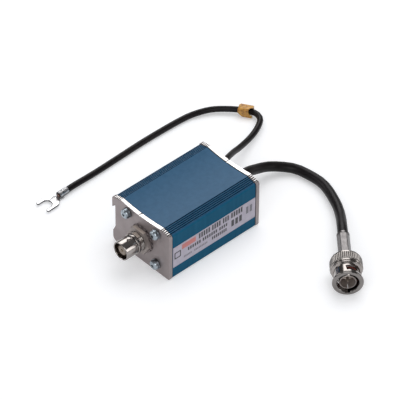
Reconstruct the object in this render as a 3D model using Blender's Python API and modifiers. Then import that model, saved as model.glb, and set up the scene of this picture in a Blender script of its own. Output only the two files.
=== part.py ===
"""Coax lightning arrestor.

A grooved aluminium extrusion is closed by two screwed end plates. The front plate carries a coaxial bayonet
jack, and a coax lead with a bayonet plug and an earth wire with a fork lug leave through the rear plate.
Inside, a circuit board in the extrusion's guides carries a gas tube, a resistor and a suppressor diode.

Metres, +Z up. The origin is the middle of the housing's underside, and the jack points along -Y.
"""

import math

import bmesh
import bpy
from mathutils import Vector

MM = 0.001

# Housing, seen from the front
PLATE_WIDTH = 38.8 * MM
HOUSING_LENGTH = 56.3 * MM
CREST_HEIGHT = 27.8 * MM
PLATE_THICKNESS = 2.0 * MM
PLATE_OVERHANG = 0.25 * MM
WALL = 1.8 * MM
CREST_INSET = 5.8 * MM
TOP_SAG = 1.0 * MM
SHOULDER_INSET = 1.0 * MM
SHOULDER_DROP = 1.05 * MM
SIDE_DROP = 2.6 * MM
BOTTOM_LEFT_RADIUS = 2.2 * MM
BOTTOM_RIGHT_RADIUS = 1.0 * MM

# Fine grooves along the shoulders of the extrusion, and the punch marks on the plates' shoulders
GROOVE_COUNT = 5
GROOVE_WIDTH = 0.5 * MM
GROOVE_DEPTH = 0.45 * MM
GROOVE_MARGIN = 0.12 * MM
NIBBLE_WIDTH = 0.6 * MM
NIBBLE_DEPTH = 0.18 * MM
NICK_WIDTH = 0.8 * MM
NICK_DEPTH = 0.4 * MM
NICK_OFFSET = 0.9 * MM

# Rail notch in the left side
NOTCH_DEPTH = 2.1 * MM
NOTCH_LIP_TOP = 5.8 * MM
NOTCH_FLOOR_BOTTOM = 9.3 * MM
HOOK_TIP_BELOW_CREST = 7.8 * MM
HOOK_UNDERCUT = 1.9 * MM
LIP_SETBACK = 0.45 * MM

# Screws, in a rectangle round the jack's axis
PATTERN_OFFSET = 1.1 * MM
SCREW_ROW_ABOVE_BOTTOM = 5.0 * MM
SCREW_ROW_BELOW_CREST = 4.4 * MM
SCREW_HALF_PITCH_X = 9.75 * MM
SCREW_RADIUS = 1.25 * MM
SCREW_LENGTH = 8.0 * MM
SCREW_HEAD_RADIUS = 2.5 * MM
SCREW_HEAD_HEIGHT = 1.8 * MM
RECESS_LENGTH = 2.7 * MM
RECESS_WIDTH = 0.75 * MM
RECESS_DEPTH = 1.1 * MM
LOCK_WASHER_RADIUS = 2.6 * MM
LOCK_WASHER_THICKNESS = 0.6 * MM
LOCK_WASHER_SPLIT = 14.0
FLUSH_HEAD_RADIUS = 2.35 * MM
FLUSH_HEAD_SINK = 0.1 * MM
FLUSH_RECESS_LENGTH = 2.2 * MM
FLUSH_RECESS_DEPTH = 0.8 * MM
CHANNEL_WALL = 1.5 * MM

# Clearances
FIT_GAP = 0.3 * MM
STACK_GAP = 0.2 * MM
THREAD_GAP = 0.25 * MM
LABEL_GAP = 0.05 * MM

# Label on the right side
LABEL_BOTTOM = 6.0 * MM
LABEL_HEIGHT = 12.4 * MM
LABEL_MARGIN = 0.3 * MM
LABEL_THICKNESS = 0.15 * MM

# Jack
JACK_RADIUS = 4.825 * MM
JACK_WALL = 0.725 * MM
JACK_EDGE = 0.22 * MM
JACK_SLEEVE_LENGTH = 6.3 * MM
JACK_NECK_STEP = 0.475 * MM
JACK_NECK_LENGTH = 0.7 * MM
JACK_RING_STAND = 0.275 * MM
JACK_RING_LENGTH = 1.6 * MM
JACK_THREAD_STEP = 0.075 * MM
JACK_THREAD_SHOWN = 2.1 * MM
THREAD_PITCH = 0.8 * MM
THREAD_DEPTH = 0.3 * MM
THREAD_COUNT = 3
JACK_STEM_BORE_RADIUS = 2.6 * MM
JACK_FLANGE_RADIUS = 7.0 * MM
JACK_FLANGE_THICKNESS = 1.5 * MM
JACK_TAIL_RADIUS = 4.5 * MM
JACK_TAIL_LENGTH = 3.0 * MM
MOUTH_DEPTH = 5.3 * MM
INSULATOR_LENGTH = 3.2 * MM
CONTACT_RADIUS = 1.05 * MM
CONTACT_BORE_RADIUS = 0.7 * MM
CONTACT_BORE_DEPTH = 5.0 * MM
CONTACT_SETBACK = 1.3 * MM
CONTACT_TAIL_RADIUS = 0.6 * MM
CONTACT_TAIL_LENGTH = 2.2 * MM
BAYONET_LUG_RADIUS = 1.0 * MM
BAYONET_LUG_STAND = 0.675 * MM
BAYONET_LUG_SETBACK = 4.7 * MM
BAYONET_LUG_ANGLE = 83.0
NUT_FLATS = 12.7 * MM
NUT_THICKNESS = 1.8 * MM
NUT_CHAMFER = 0.45 * MM
TOOTH_WASHER_THICKNESS = 0.5 * MM
TOOTH_WASHER_RADIUS = 7.3 * MM
TOOTH_DEPTH = 0.9 * MM
TOOTH_COUNT = 16

# Circuit board and what it carries
BOARD_THICKNESS = 1.6 * MM
BOARD_BEFORE_DIELECTRIC = 2.25 * MM
GUIDE_DEPTH = 1.2 * MM
GUIDE_THICKNESS = 1.0 * MM
LEAD_RADIUS = 0.35 * MM
LEAD_BELOW_BOARD = 1.0 * MM
LEAD_BEND = 1.0 * MM
GAS_TUBE_RADIUS = 4.0 * MM
GAS_TUBE_CERAMIC_LENGTH = 4.2 * MM
GAS_TUBE_CAP_THICKNESS = 0.9 * MM
GAS_TUBE_LEAD_RUN = 2.2 * MM
GAS_TUBE_SHARE = 0.317
RESISTOR_RADIUS = 1.5 * MM
RESISTOR_LENGTH = 6.2 * MM
RESISTOR_SHARE = 0.625
DIODE_RADIUS = 1.35 * MM
DIODE_LENGTH = 5.2 * MM
DIODE_SHARE = 0.65
AXIAL_LEAD_RUN = 2.4 * MM

# Cables and their grommets
COAX_RADIUS = 2.475 * MM
COAX_DIELECTRIC_RADIUS = 1.2 * MM
COAX_CONDUCTOR_RADIUS = 0.4 * MM
BRAID_TAIL_RADIUS = 0.6 * MM
EARTH_RADIUS = 1.5 * MM
EARTH_CORE_RADIUS = 0.85 * MM
CABLE_INSIDE_LENGTH = 7.65 * MM
CABLE_STRAIGHT_START = 2.85 * MM
CABLE_STRAIGHT_END = 4.5 * MM
STRIPPED_LENGTH = 3.0 * MM
GROMMET_WALL = 1.0 * MM
GROMMET_LIP = 0.7 * MM
GROMMET_LIP_THICKNESS = 1.4 * MM

# Bayonet plug, measured back from its mouth, which lies this far from the middle of the rear plate
PLUG_PLACE = (81.4 * MM, -3.35 * MM)
PLUG_TURN = 49.5
FLOOR_GAP = 0.05 * MM
KNURL_STAND = 1.5 * MM
KNURL_DEPTH = 0.28 * MM
KNURL_COUNT = 30
KNURL_LENGTH = 5.9 * MM
NUT_BORE_GAP = 0.225 * MM
NUT_WALL = 1.1 * MM
NUT_RING_STAND = 1.15 * MM
NUT_RING_LENGTH = 1.5 * MM
NUT_LENGTH = 14.7 * MM
NUT_BEAD_STAND = 0.85 * MM
NUT_BEAD_LENGTH = 0.75 * MM
NUT_REAR_WALL = 3.6 * MM
SLOT_GROOVE_DEPTH = 0.65 * MM
SLOT_GROOVE_WIDTH = 2.4 * MM
SLOT_TUBE_RADIUS = 1.25 * MM
SLOT_START = 4.1 * MM
SLOT_END = 6.3 * MM
SLOT_SWEEP = 66.0
SLIDE_TRAVEL = 0.6 * MM
PLUG_SLEEVE_WALL = 0.55 * MM
PLUG_SLEEVE_SETBACK = 0.9 * MM
PLUG_SLIT_WIDTH = 0.5 * MM
PLUG_SLIT_LENGTH = 4.2 * MM
PLUG_SHOULDER_THICKNESS = 1.4 * MM
PLUG_NECK_RADIUS = 3.4 * MM
PLUG_NECK_BORE = 2.5 * MM
COLLAR_RADIUS = 4.6 * MM
COLLAR_THICKNESS = 1.0 * MM
GASKET_THICKNESS = 0.7 * MM
SPRING_THICKNESS = 0.35 * MM
SPRING_DISH = 0.35 * MM
THRUST_WASHER_THICKNESS = 0.6 * MM
PLUG_INSULATOR_FACE = 6.2 * MM
PLUG_INSULATOR_DEPTH = 2.0 * MM
PLUG_PIN_RADIUS = 0.675 * MM
PLUG_PIN_SETBACK = 1.4 * MM
PLUG_PIN_BASE_RADIUS = 0.9 * MM
PLUG_PIN_BASE_SINK = 0.4 * MM
PLUG_PIN_END_STEP = 1.6 * MM
CRIMP_POST_RADIUS = 1.9 * MM
CRIMP_POST_BORE = 1.4 * MM
CRIMP_POST_LENGTH = 10.0 * MM
CRIMP_POST_FLOOR = 1.0 * MM
FERRULE_FLATS = 5.41 * MM
FERRULE_LENGTH = 16.2 * MM

# Fork lug
LUG_BARREL_RADIUS = 2.0 * MM
LUG_BARREL_BORE = 1.3 * MM
LUG_BARREL_LENGTH = 5.4 * MM
LUG_SEAM_WIDTH = 0.3 * MM
LUG_THICKNESS = 0.8 * MM
LUG_LENGTH = 10.8 * MM
LUG_WIDTH = 8.6 * MM
LUG_SLOT_WIDTH = 5.0 * MM
LUG_SLOT_LENGTH = 5.7 * MM
LUG_NECK_WIDTH = 3.3 * MM
LUG_NECK_REACH = 1.45
STRAND_END = 0.6 * MM
LUG_PLACE = (-56.6 * MM, -56.75 * MM)
LUG_TURN = -87.4

# Cable marker on the earth wire
MARKER_PLACE = (-40.85 * MM, 48.65 * MM)
MARKER_TURN = 211.4
MARKER_LENGTH = 7.0 * MM
MARKER_WIDTH = 5.2 * MM
MARKER_HEIGHT = 5.4 * MM
MARKER_SLIT = 1.4 * MM

# Sides of round shapes
FINE_SIDE_COUNT = 26
SIDE_COUNT = 18
SMALL_SIDE_COUNT = 12
LEAD_SIDE_COUNT = 8

# Worked out from the sizes above
FRONT_FACE = -HOUSING_LENGTH / 2
REAR_FACE = HOUSING_LENGTH / 2
EXTRUSION_LENGTH = HOUSING_LENGTH - 2 * (PLATE_THICKNESS + FIT_GAP)
BODY_WIDTH = PLATE_WIDTH - 2 * PLATE_OVERHANG
HOOK_TIP_HEIGHT = CREST_HEIGHT - HOOK_TIP_BELOW_CREST
PATTERN_HEIGHT = (SCREW_ROW_ABOVE_BOTTOM + CREST_HEIGHT - SCREW_ROW_BELOW_CREST) / 2
SCREW_HALF_PITCH_Z = PATTERN_HEIGHT - SCREW_ROW_ABOVE_BOTTOM
CHANNEL_RADIUS = SCREW_RADIUS + THREAD_GAP
CHANNEL_OUTER_RADIUS = CHANNEL_RADIUS + CHANNEL_WALL
CAVITY_LEFT = -BODY_WIDTH / 2 + NOTCH_DEPTH + WALL
CAVITY_RIGHT = BODY_WIDTH / 2 - WALL
CAVITY_BOTTOM = WALL
CAVITY_TOP = CREST_HEIGHT - PLATE_OVERHANG - TOP_SAG - WALL
BOARD_TOP = PATTERN_HEIGHT - CONTACT_TAIL_RADIUS - FIT_GAP
BOARD_BOTTOM = BOARD_TOP - BOARD_THICKNESS
JACK_BORE_RADIUS = JACK_RADIUS - JACK_WALL
JACK_NECK_RADIUS = JACK_RADIUS - JACK_NECK_STEP
JACK_RING_RADIUS = JACK_RADIUS + JACK_RING_STAND
JACK_THREAD_RADIUS = JACK_RADIUS - JACK_THREAD_STEP
NUT_BACK = 2 * STACK_GAP + TOOTH_WASHER_THICKNESS
JACK_RING_END = NUT_BACK + NUT_THICKNESS + JACK_THREAD_SHOWN
JACK_SLEEVE_END = JACK_RING_END + JACK_RING_LENGTH + JACK_NECK_LENGTH
JACK_REACH = JACK_SLEEVE_END + JACK_SLEEVE_LENGTH
JACK_FLANGE_FACE = -PLATE_THICKNESS - FIT_GAP
JACK_REAR_END = JACK_FLANGE_FACE - JACK_FLANGE_THICKNESS - JACK_TAIL_LENGTH
BOARD_FRONT = FRONT_FACE - JACK_REAR_END + FIT_GAP
CABLE_INNER_END = REAR_FACE - CABLE_INSIDE_LENGTH
DIELECTRIC_END = CABLE_INNER_END - FIT_GAP - STRIPPED_LENGTH
BOARD_REAR = DIELECTRIC_END - BOARD_BEFORE_DIELECTRIC
BOARD_LENGTH = BOARD_REAR - BOARD_FRONT
EARTH_X = CAVITY_LEFT + GUIDE_DEPTH + 2 * FIT_GAP + EARTH_RADIUS + GROMMET_WALL + GROMMET_LIP
NUT_BORE_RADIUS = JACK_RADIUS + NUT_BORE_GAP
NUT_WAIST_RADIUS = NUT_BORE_RADIUS + NUT_WALL
NUT_RING_RADIUS = NUT_WAIST_RADIUS + NUT_RING_STAND
NUT_BEAD_RADIUS = NUT_WAIST_RADIUS + NUT_BEAD_STAND
KNURL_RADIUS = NUT_WAIST_RADIUS + KNURL_STAND
SLOT_GROOVE_RADIUS = NUT_BORE_RADIUS + SLOT_GROOVE_DEPTH
PLUG_SLEEVE_RADIUS = JACK_BORE_RADIUS
PLUG_SLEEVE_BORE = PLUG_SLEEVE_RADIUS - PLUG_SLEEVE_WALL
PLUG_AXIS_HEIGHT = KNURL_RADIUS + FLOOR_GAP
THRUST_WASHER_BACK = NUT_LENGTH - NUT_REAR_WALL - FIT_GAP
SPRING_BACK = THRUST_WASHER_BACK - THRUST_WASHER_THICKNESS - SLIDE_TRAVEL - FIT_GAP
PLUG_SHOULDER_BACK = SPRING_BACK - SPRING_THICKNESS - SPRING_DISH - FIT_GAP
FERRULE_FRONT = NUT_LENGTH + FIT_GAP + COLLAR_THICKNESS + FIT_GAP
FERRULE_REAR = FERRULE_FRONT + FERRULE_LENGTH
LUG_AXIS_HEIGHT = LUG_BARREL_RADIUS + FLOOR_GAP
MARKER_AXIS_HEIGHT = MARKER_HEIGHT / 2 + FLOOR_GAP
WELD = 0.001 * MM

part_collection = None
cutter_collection = None


def clear_scene():
    """Removes what the file holds and adds the two collections."""
    global part_collection, cutter_collection
    for obj in list(bpy.data.objects):
        bpy.data.objects.remove(obj, do_unlink=True)
    part_collection = bpy.data.collections.new("coax_lightning_arrestor")
    cutter_collection = bpy.data.collections.new("cutters")
    cutter_collection.hide_render = True
    for collection in (part_collection, cutter_collection):
        bpy.context.scene.collection.children.link(collection)


def look(name, colour, roughness, metallic):
    """A plain Principled material."""
    material = bpy.data.materials.new(name)
    material.use_nodes = True
    shader = material.node_tree.nodes["Principled BSDF"]
    shader.inputs["Base Color"].default_value = (*colour, 1.0)
    shader.inputs["Roughness"].default_value = roughness
    shader.inputs["Metallic"].default_value = metallic
    return material


def place(name, data, frame=None, location=(0, 0, 0), rotation=(0, 0, 0), material=None):
    """Adds an object to the part, placed in its parent's frame."""
    obj = bpy.data.objects.new(name, data)
    part_collection.objects.link(obj)
    obj.parent = frame
    obj.location = location
    obj.rotation_euler = rotation
    if material is not None:
        data.materials.clear()
        data.materials.append(material)
    return obj


def frame_at(name, location, rotation):
    """An empty whose +Z points out along an axis of the object."""
    empty = place(name, None, None, location, rotation)
    empty.empty_display_size = SCREW_LENGTH
    return empty


def as_cutter(obj):
    """Moves a helper out of the part and hides it from renders."""
    part_collection.objects.unlink(obj)
    cutter_collection.objects.link(obj)
    obj.hide_render = True
    obj.display_type = "WIRE"
    return obj


def turned(name, profile, material, frame=None, location=(0, 0, 0), rotation=(0, 0, 0), sides=SIDE_COUNT):
    """A profile of (radius, height) turned about Z, down the outside and then up the bore of a hollow one."""
    hollow = min(radius for radius, _ in profile) > 0
    mesh = bpy.data.meshes.new(name)
    edges = [(i, i + 1) for i in range(len(profile) - 1)]
    if hollow:
        edges.append((len(profile) - 1, 0))
    mesh.from_pydata([(radius, 0, height) for radius, height in profile], edges, [])
    obj = place(name, mesh, frame, location, rotation, material)
    screw = obj.modifiers.new("turn", "SCREW")
    screw.axis = "Z"
    screw.angle = math.tau
    screw.steps = sides
    screw.render_steps = sides
    screw.use_merge_vertices = True
    screw.merge_threshold = WELD
    screw.use_smooth_shade = True
    return obj


def outline(name, loops, thickness, material, frame=None, location=(0, 0, 0), rotation=(0, 0, 0)):
    """A flat outline with holes, in local XY, with its thickness centred on local Z."""
    curve = bpy.data.curves.new(name, "CURVE")
    curve.dimensions = "2D"
    curve.fill_mode = "BOTH"
    curve.extrude = thickness / 2
    for loop in loops:
        spline = curve.splines.new("POLY")
        spline.points.add(len(loop) - 1)
        for point, (x, y) in zip(spline.points, loop):
            point.co = (x, y, 0, 1)
        spline.use_cyclic_u = True
    return place(name, curve, frame, location, rotation, material)


def tube(name, points, radius, material, frame=None, location=(0, 0, 0), resolution=2):
    """A round wire through the points, with closed ends."""
    curve = bpy.data.curves.new(name, "CURVE")
    curve.dimensions = "3D"
    curve.bevel_depth = radius
    curve.bevel_resolution = resolution
    curve.use_fill_caps = True
    spline = curve.splines.new("POLY")
    spline.points.add(len(points) - 1)
    for point, place_of in zip(spline.points, points):
        point.co = (*place_of, 1)
    return place(name, curve, frame, location, (0, 0, 0), material)


def box(name, size, centre, material=None, frame=None):
    """A block with its size in its mesh."""
    shape = bmesh.new()
    bmesh.ops.create_cube(shape, size=1.0)
    bmesh.ops.scale(shape, vec=Vector(size), verts=shape.verts)
    mesh = bpy.data.meshes.new(name)
    shape.to_mesh(mesh)
    shape.free()
    return place(name, mesh, frame, centre, (0, 0, 0), material)


def as_mesh(obj):
    """Replaces a curve, or a mesh with modifiers, by the welded mesh of its evaluated shape."""
    bpy.context.view_layer.update()
    graph = bpy.context.evaluated_depsgraph_get()
    mesh = bpy.data.meshes.new_from_object(obj.evaluated_get(graph))
    shape = bmesh.new()
    shape.from_mesh(mesh)
    bmesh.ops.remove_doubles(shape, verts=shape.verts, dist=WELD)
    bmesh.ops.recalc_face_normals(shape, faces=shape.faces)
    shape.to_mesh(mesh)
    shape.free()
    mesh.shade_smooth()
    mesh.set_sharp_from_angle(angle=math.radians(35))
    name = obj.name
    solid = bpy.data.objects.new(name, mesh)
    part_collection.objects.link(solid)
    solid.parent = obj.parent
    solid.matrix_world = obj.matrix_world
    bpy.data.objects.remove(obj, do_unlink=True)
    solid.name = name
    return solid


def combine(obj, helper, operation):
    """Cuts the helper from obj, or joins or intersects them."""
    step = obj.modifiers.new(operation.lower(), "BOOLEAN")
    step.operation = operation
    step.solver = "EXACT"
    step.object = as_cutter(helper)
    return obj


def copy_of(obj, name, frame, location, turn=0.0):
    """Another object with the same mesh."""
    return place(name, obj.data, frame, location, (0, 0, turn))


def arc(centre, radius, start, end, steps):
    """Points on an arc, in degrees, with both ends."""
    angles = [math.radians(start + (end - start) * i / steps) for i in range(steps + 1)]
    return [(centre[0] + radius * math.cos(a), centre[1] + radius * math.sin(a)) for a in angles]


def circle(centre, radius, sides=SIDE_COUNT):
    return arc(centre, radius, 0, 360, sides)[:-1]


def scored(start, end, pitch, width, depth):
    """Points from start to end with the small grooves cut to the left of the way there."""
    way = (Vector(end) - Vector(start)).normalized()
    inward = Vector((-way.y, way.x))
    points = [Vector(start)]
    for i in range(GROOVE_COUNT):
        near = Vector(start) + way * (GROOVE_MARGIN + i * pitch)
        far = near + way * width
        points += [near, near.lerp(far, 0.25) + inward * depth, near.lerp(far, 0.75) + inward * depth, far]
    return [tuple(point) for point in points]


def housing_outline(overhang, groove_width, groove_depth, nick_depth=0.0):
    """The section of the housing, anticlockwise from the bottom left. A plate stands out by the overhang."""
    left = -BODY_WIDTH / 2 - overhang
    right = BODY_WIDTH / 2 + overhang
    crest = CREST_HEIGHT - PLATE_OVERHANG + overhang
    shoulder = crest - SHOULDER_DROP
    side_top = crest - SIDE_DROP
    crest_x = PLATE_WIDTH / 2 - CREST_INSET
    lip = left + LIP_SETBACK
    floor = left + NOTCH_DEPTH
    sag_radius = (crest_x**2 + TOP_SAG**2) / (2 * TOP_SAG)
    sag_angle = math.degrees(math.asin(crest_x / sag_radius))
    dish = arc((0, crest - TOP_SAG + sag_radius), sag_radius, 270 + sag_angle, 270 - sag_angle, 8)
    knee = SHOULDER_INSET * 0.35
    knee_height = (side_top + shoulder) / 2 + SHOULDER_INSET * 0.2
    points = arc((lip + BOTTOM_LEFT_RADIUS, BOTTOM_LEFT_RADIUS), BOTTOM_LEFT_RADIUS, 180, 270, 4)
    points += arc((right - BOTTOM_RIGHT_RADIUS, BOTTOM_RIGHT_RADIUS), BOTTOM_RIGHT_RADIUS, 270, 360, 3)
    points += [(right, side_top), (right - knee, knee_height)]
    shoulder_right = (right - SHOULDER_INSET, shoulder)
    shoulder_left = (left + SHOULDER_INSET, shoulder)
    run = (Vector((crest_x, crest)) - Vector(shoulder_right)).length
    pitch = (run - 2 * GROOVE_MARGIN - groove_width) / (GROOVE_COUNT - 1)
    points += scored(shoulder_right, dish[0], pitch, groove_width, groove_depth)
    half = len(dish) // 2
    points += dish[:half]
    if nick_depth:
        nick = dish[half][0] - NICK_OFFSET
        level = dish[half][1]
        points += [(nick + NICK_WIDTH / 2, level), (nick + NICK_WIDTH / 2, level - nick_depth)]
        points += [(nick - NICK_WIDTH / 2, level - nick_depth), (nick - NICK_WIDTH / 2, level)]
    else:
        points += dish[half : half + 1]
    points += dish[half + 1 : -1]
    points += scored(dish[-1], shoulder_left, pitch, groove_width, groove_depth)
    points += [shoulder_left, (left + knee, knee_height)]
    points += [(left, side_top), (left, HOOK_TIP_HEIGHT), (floor, HOOK_TIP_HEIGHT + HOOK_UNDERCUT)]
    points += [(floor, NOTCH_FLOOR_BOTTOM), (lip, NOTCH_LIP_TOP)]
    return points


def screw_places():
    """The four (x, z) of the screws on each plate."""
    return [
        (PATTERN_OFFSET + side * SCREW_HALF_PITCH_X, PATTERN_HEIGHT + level * SCREW_HALF_PITCH_Z)
        for level in (-1, 1)
        for side in (-1, 1)
    ]


def guide_steps(wall, inward):
    """The two board guides on an inner side wall, from the bottom up."""
    edge = wall + inward * GUIDE_DEPTH
    lower = BOARD_BOTTOM - FIT_GAP
    upper = BOARD_TOP + FIT_GAP
    levels = (lower - GUIDE_THICKNESS, lower, upper, upper + GUIDE_THICKNESS)
    return [(wall, levels[0]), (edge, levels[0]), (edge, levels[1]), (wall, levels[1])] + [
        (wall, levels[2]),
        (edge, levels[2]),
        (edge, levels[3]),
        (wall, levels[3]),
    ]


def cavity_outline():
    """The inside of the extrusion, anticlockwise, round the screw channels and the board guides."""
    low = PATTERN_HEIGHT - SCREW_HALF_PITCH_Z
    high = PATTERN_HEIGHT + SCREW_HALF_PITCH_Z
    near = PATTERN_OFFSET - SCREW_HALF_PITCH_X
    far = PATTERN_OFFSET + SCREW_HALF_PITCH_X
    radius = CHANNEL_OUTER_RADIUS
    points = [(CAVITY_LEFT, CAVITY_BOTTOM)]
    for x in (near, far):
        points.append((x - radius, CAVITY_BOTTOM))
        points += arc((x, low), radius, 180, 0, 8)
        points.append((x + radius, CAVITY_BOTTOM))
    points.append((CAVITY_RIGHT, CAVITY_BOTTOM))
    points += guide_steps(CAVITY_RIGHT, -1)
    points.append((CAVITY_RIGHT, CAVITY_TOP))
    for x in (far, near):
        points.append((x + radius, CAVITY_TOP))
        points += arc((x, high), radius, 0, -180, 8)
        points.append((x - radius, CAVITY_TOP))
    points.append((CAVITY_LEFT, CAVITY_TOP))
    points += reversed(guide_steps(CAVITY_LEFT, 1))
    return points


def make_housing():
    loops = [housing_outline(0, GROOVE_WIDTH, GROOVE_DEPTH), cavity_outline()]
    loops += [circle(place_of, CHANNEL_RADIUS, SMALL_SIDE_COUNT) for place_of in screw_places()]
    blue = look("blue_anodised", (0.03, 0.10, 0.18), 0.45, 0.6)
    outline("housing_extrusion", loops, EXTRUSION_LENGTH, blue, rotation=(math.pi / 2, 0, 0))


def make_end_plates(rear, bare):
    shape = housing_outline(PLATE_OVERHANG, NIBBLE_WIDTH, NIBBLE_DEPTH, NICK_DEPTH)
    clearance = SCREW_RADIUS + FIT_GAP
    screw_holes = [circle(place_of, clearance, SMALL_SIDE_COUNT) for place_of in screw_places()]
    middle = (PATTERN_OFFSET, PATTERN_HEIGHT)
    front_holes = [circle(middle, JACK_THREAD_RADIUS + FIT_GAP, FINE_SIDE_COUNT)]
    rear_holes = [
        circle(middle, grommet_neck(COAX_RADIUS) + FIT_GAP, SIDE_COUNT),
        circle((EARTH_X, PATTERN_HEIGHT), grommet_neck(EARTH_RADIUS) + FIT_GAP, SIDE_COUNT),
    ]
    upright = (math.pi / 2, 0, 0)
    inset = PLATE_THICKNESS / 2
    outline("front_plate", [shape] + screw_holes + front_holes, PLATE_THICKNESS, bare,
            location=(0, FRONT_FACE + inset, 0), rotation=upright)
    rear_plate = outline("rear_plate", [shape] + screw_holes + rear_holes, PLATE_THICKNESS, bare,
                         location=(0, REAR_FACE - inset, 0), rotation=upright)
    rear_plate = as_mesh(rear_plate)
    mouth = FLUSH_HEAD_RADIUS + FLUSH_HEAD_SINK + FIT_GAP
    depth = mouth - SCREW_RADIUS
    cone = [(0, FIT_GAP), (mouth + FIT_GAP, FIT_GAP), (mouth - depth, -depth), (0, -depth)]
    for number, (x, z) in enumerate(screw_places(), start=1):
        sink = turned(f"countersink_{number}", cone, None, rear, (-x, z, 0), sides=SMALL_SIDE_COUNT)
        combine(rear_plate, sink, "DIFFERENCE")


def recessed(screw, frame, top, length, depth):
    """Cuts a cross recess into the head of a screw."""
    for number in (1, 2):
        size = (length, RECESS_WIDTH, 2 * depth)
        blade = box(f"{screw.name}_blade_{number}", size, (0, 0, top), None, frame)
        blade.rotation_euler.z = number * math.pi / 2
        combine(screw, blade, "DIFFERENCE")
    return as_mesh(screw)


def shank(tip):
    """The profile of a screw below its head."""
    point = SCREW_RADIUS / 3
    return [(SCREW_RADIUS, tip + point), (SCREW_RADIUS - point, tip), (0, tip)]


def four_of(first, side, kind, frame, sign, height):
    """Puts a screw or washer and three copies of it at the four screw places of a plate."""
    for number, (x, z) in enumerate(screw_places(), start=1):
        turn = math.radians(25 + 31 * number)
        centre = (sign * x, z, height)
        if number == 1:
            first.location = centre
            first.rotation_euler.z = turn
        else:
            copy_of(first, f"{side}_{kind}_{number}", frame, centre, turn)


def make_front_screws(front, zinc):
    """Pan-head screws with a cross recess, each over a split washer."""
    head = SCREW_HEAD_RADIUS
    top = SCREW_HEAD_HEIGHT
    profile = [(0, top), (head * 0.5, top * 0.97), (head * 0.82, top * 0.8), (head, top * 0.4), (head, 0)]
    profile += [(SCREW_RADIUS, 0)] + shank(-SCREW_LENGTH)
    first = turned("front_screw_1", profile, zinc, front, sides=SMALL_SIDE_COUNT)
    screw = recessed(first, front, top, RECESS_LENGTH, RECESS_DEPTH)
    bore = SCREW_RADIUS + FIT_GAP
    spread = LOCK_WASHER_SPLIT / 2
    inner_spread = LOCK_WASHER_SPLIT * 0.9
    ring = arc((0, 0), LOCK_WASHER_RADIUS, spread, 360 - spread, SMALL_SIDE_COUNT)
    ring += arc((0, 0), bore, 360 - inner_spread, inner_spread, SMALL_SIDE_COUNT)
    washer = as_mesh(outline("front_lock_washer_1", [ring], LOCK_WASHER_THICKNESS, zinc, front))
    four_of(screw, "front", "screw", front, 1, 2 * STACK_GAP + LOCK_WASHER_THICKNESS)
    four_of(washer, "front", "lock_washer", front, 1, STACK_GAP + LOCK_WASHER_THICKNESS / 2)


def make_rear_screws(rear, zinc):
    """Countersunk screws, flush with the rear plate."""
    head = FLUSH_HEAD_RADIUS
    profile = [(0, 0), (head, 0), (SCREW_RADIUS, SCREW_RADIUS - head)] + shank(-SCREW_LENGTH)
    first = turned("rear_screw_1", profile, zinc, rear, sides=SMALL_SIDE_COUNT)
    screw = recessed(first, rear, 0, FLUSH_RECESS_LENGTH, FLUSH_RECESS_DEPTH)
    four_of(screw, "rear", "screw", rear, -1, -FLUSH_HEAD_SINK)


def make_label():
    length = EXTRUSION_LENGTH - 2 * LABEL_MARGIN
    centre = (BODY_WIDTH / 2 + LABEL_GAP + LABEL_THICKNESS / 2, 0, LABEL_BOTTOM + LABEL_HEIGHT / 2)
    silver = look("label_silver", (0.38, 0.38, 0.42), 0.5, 0.2)
    box("side_label", (LABEL_THICKNESS, length, LABEL_HEIGHT), centre, silver)


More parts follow.
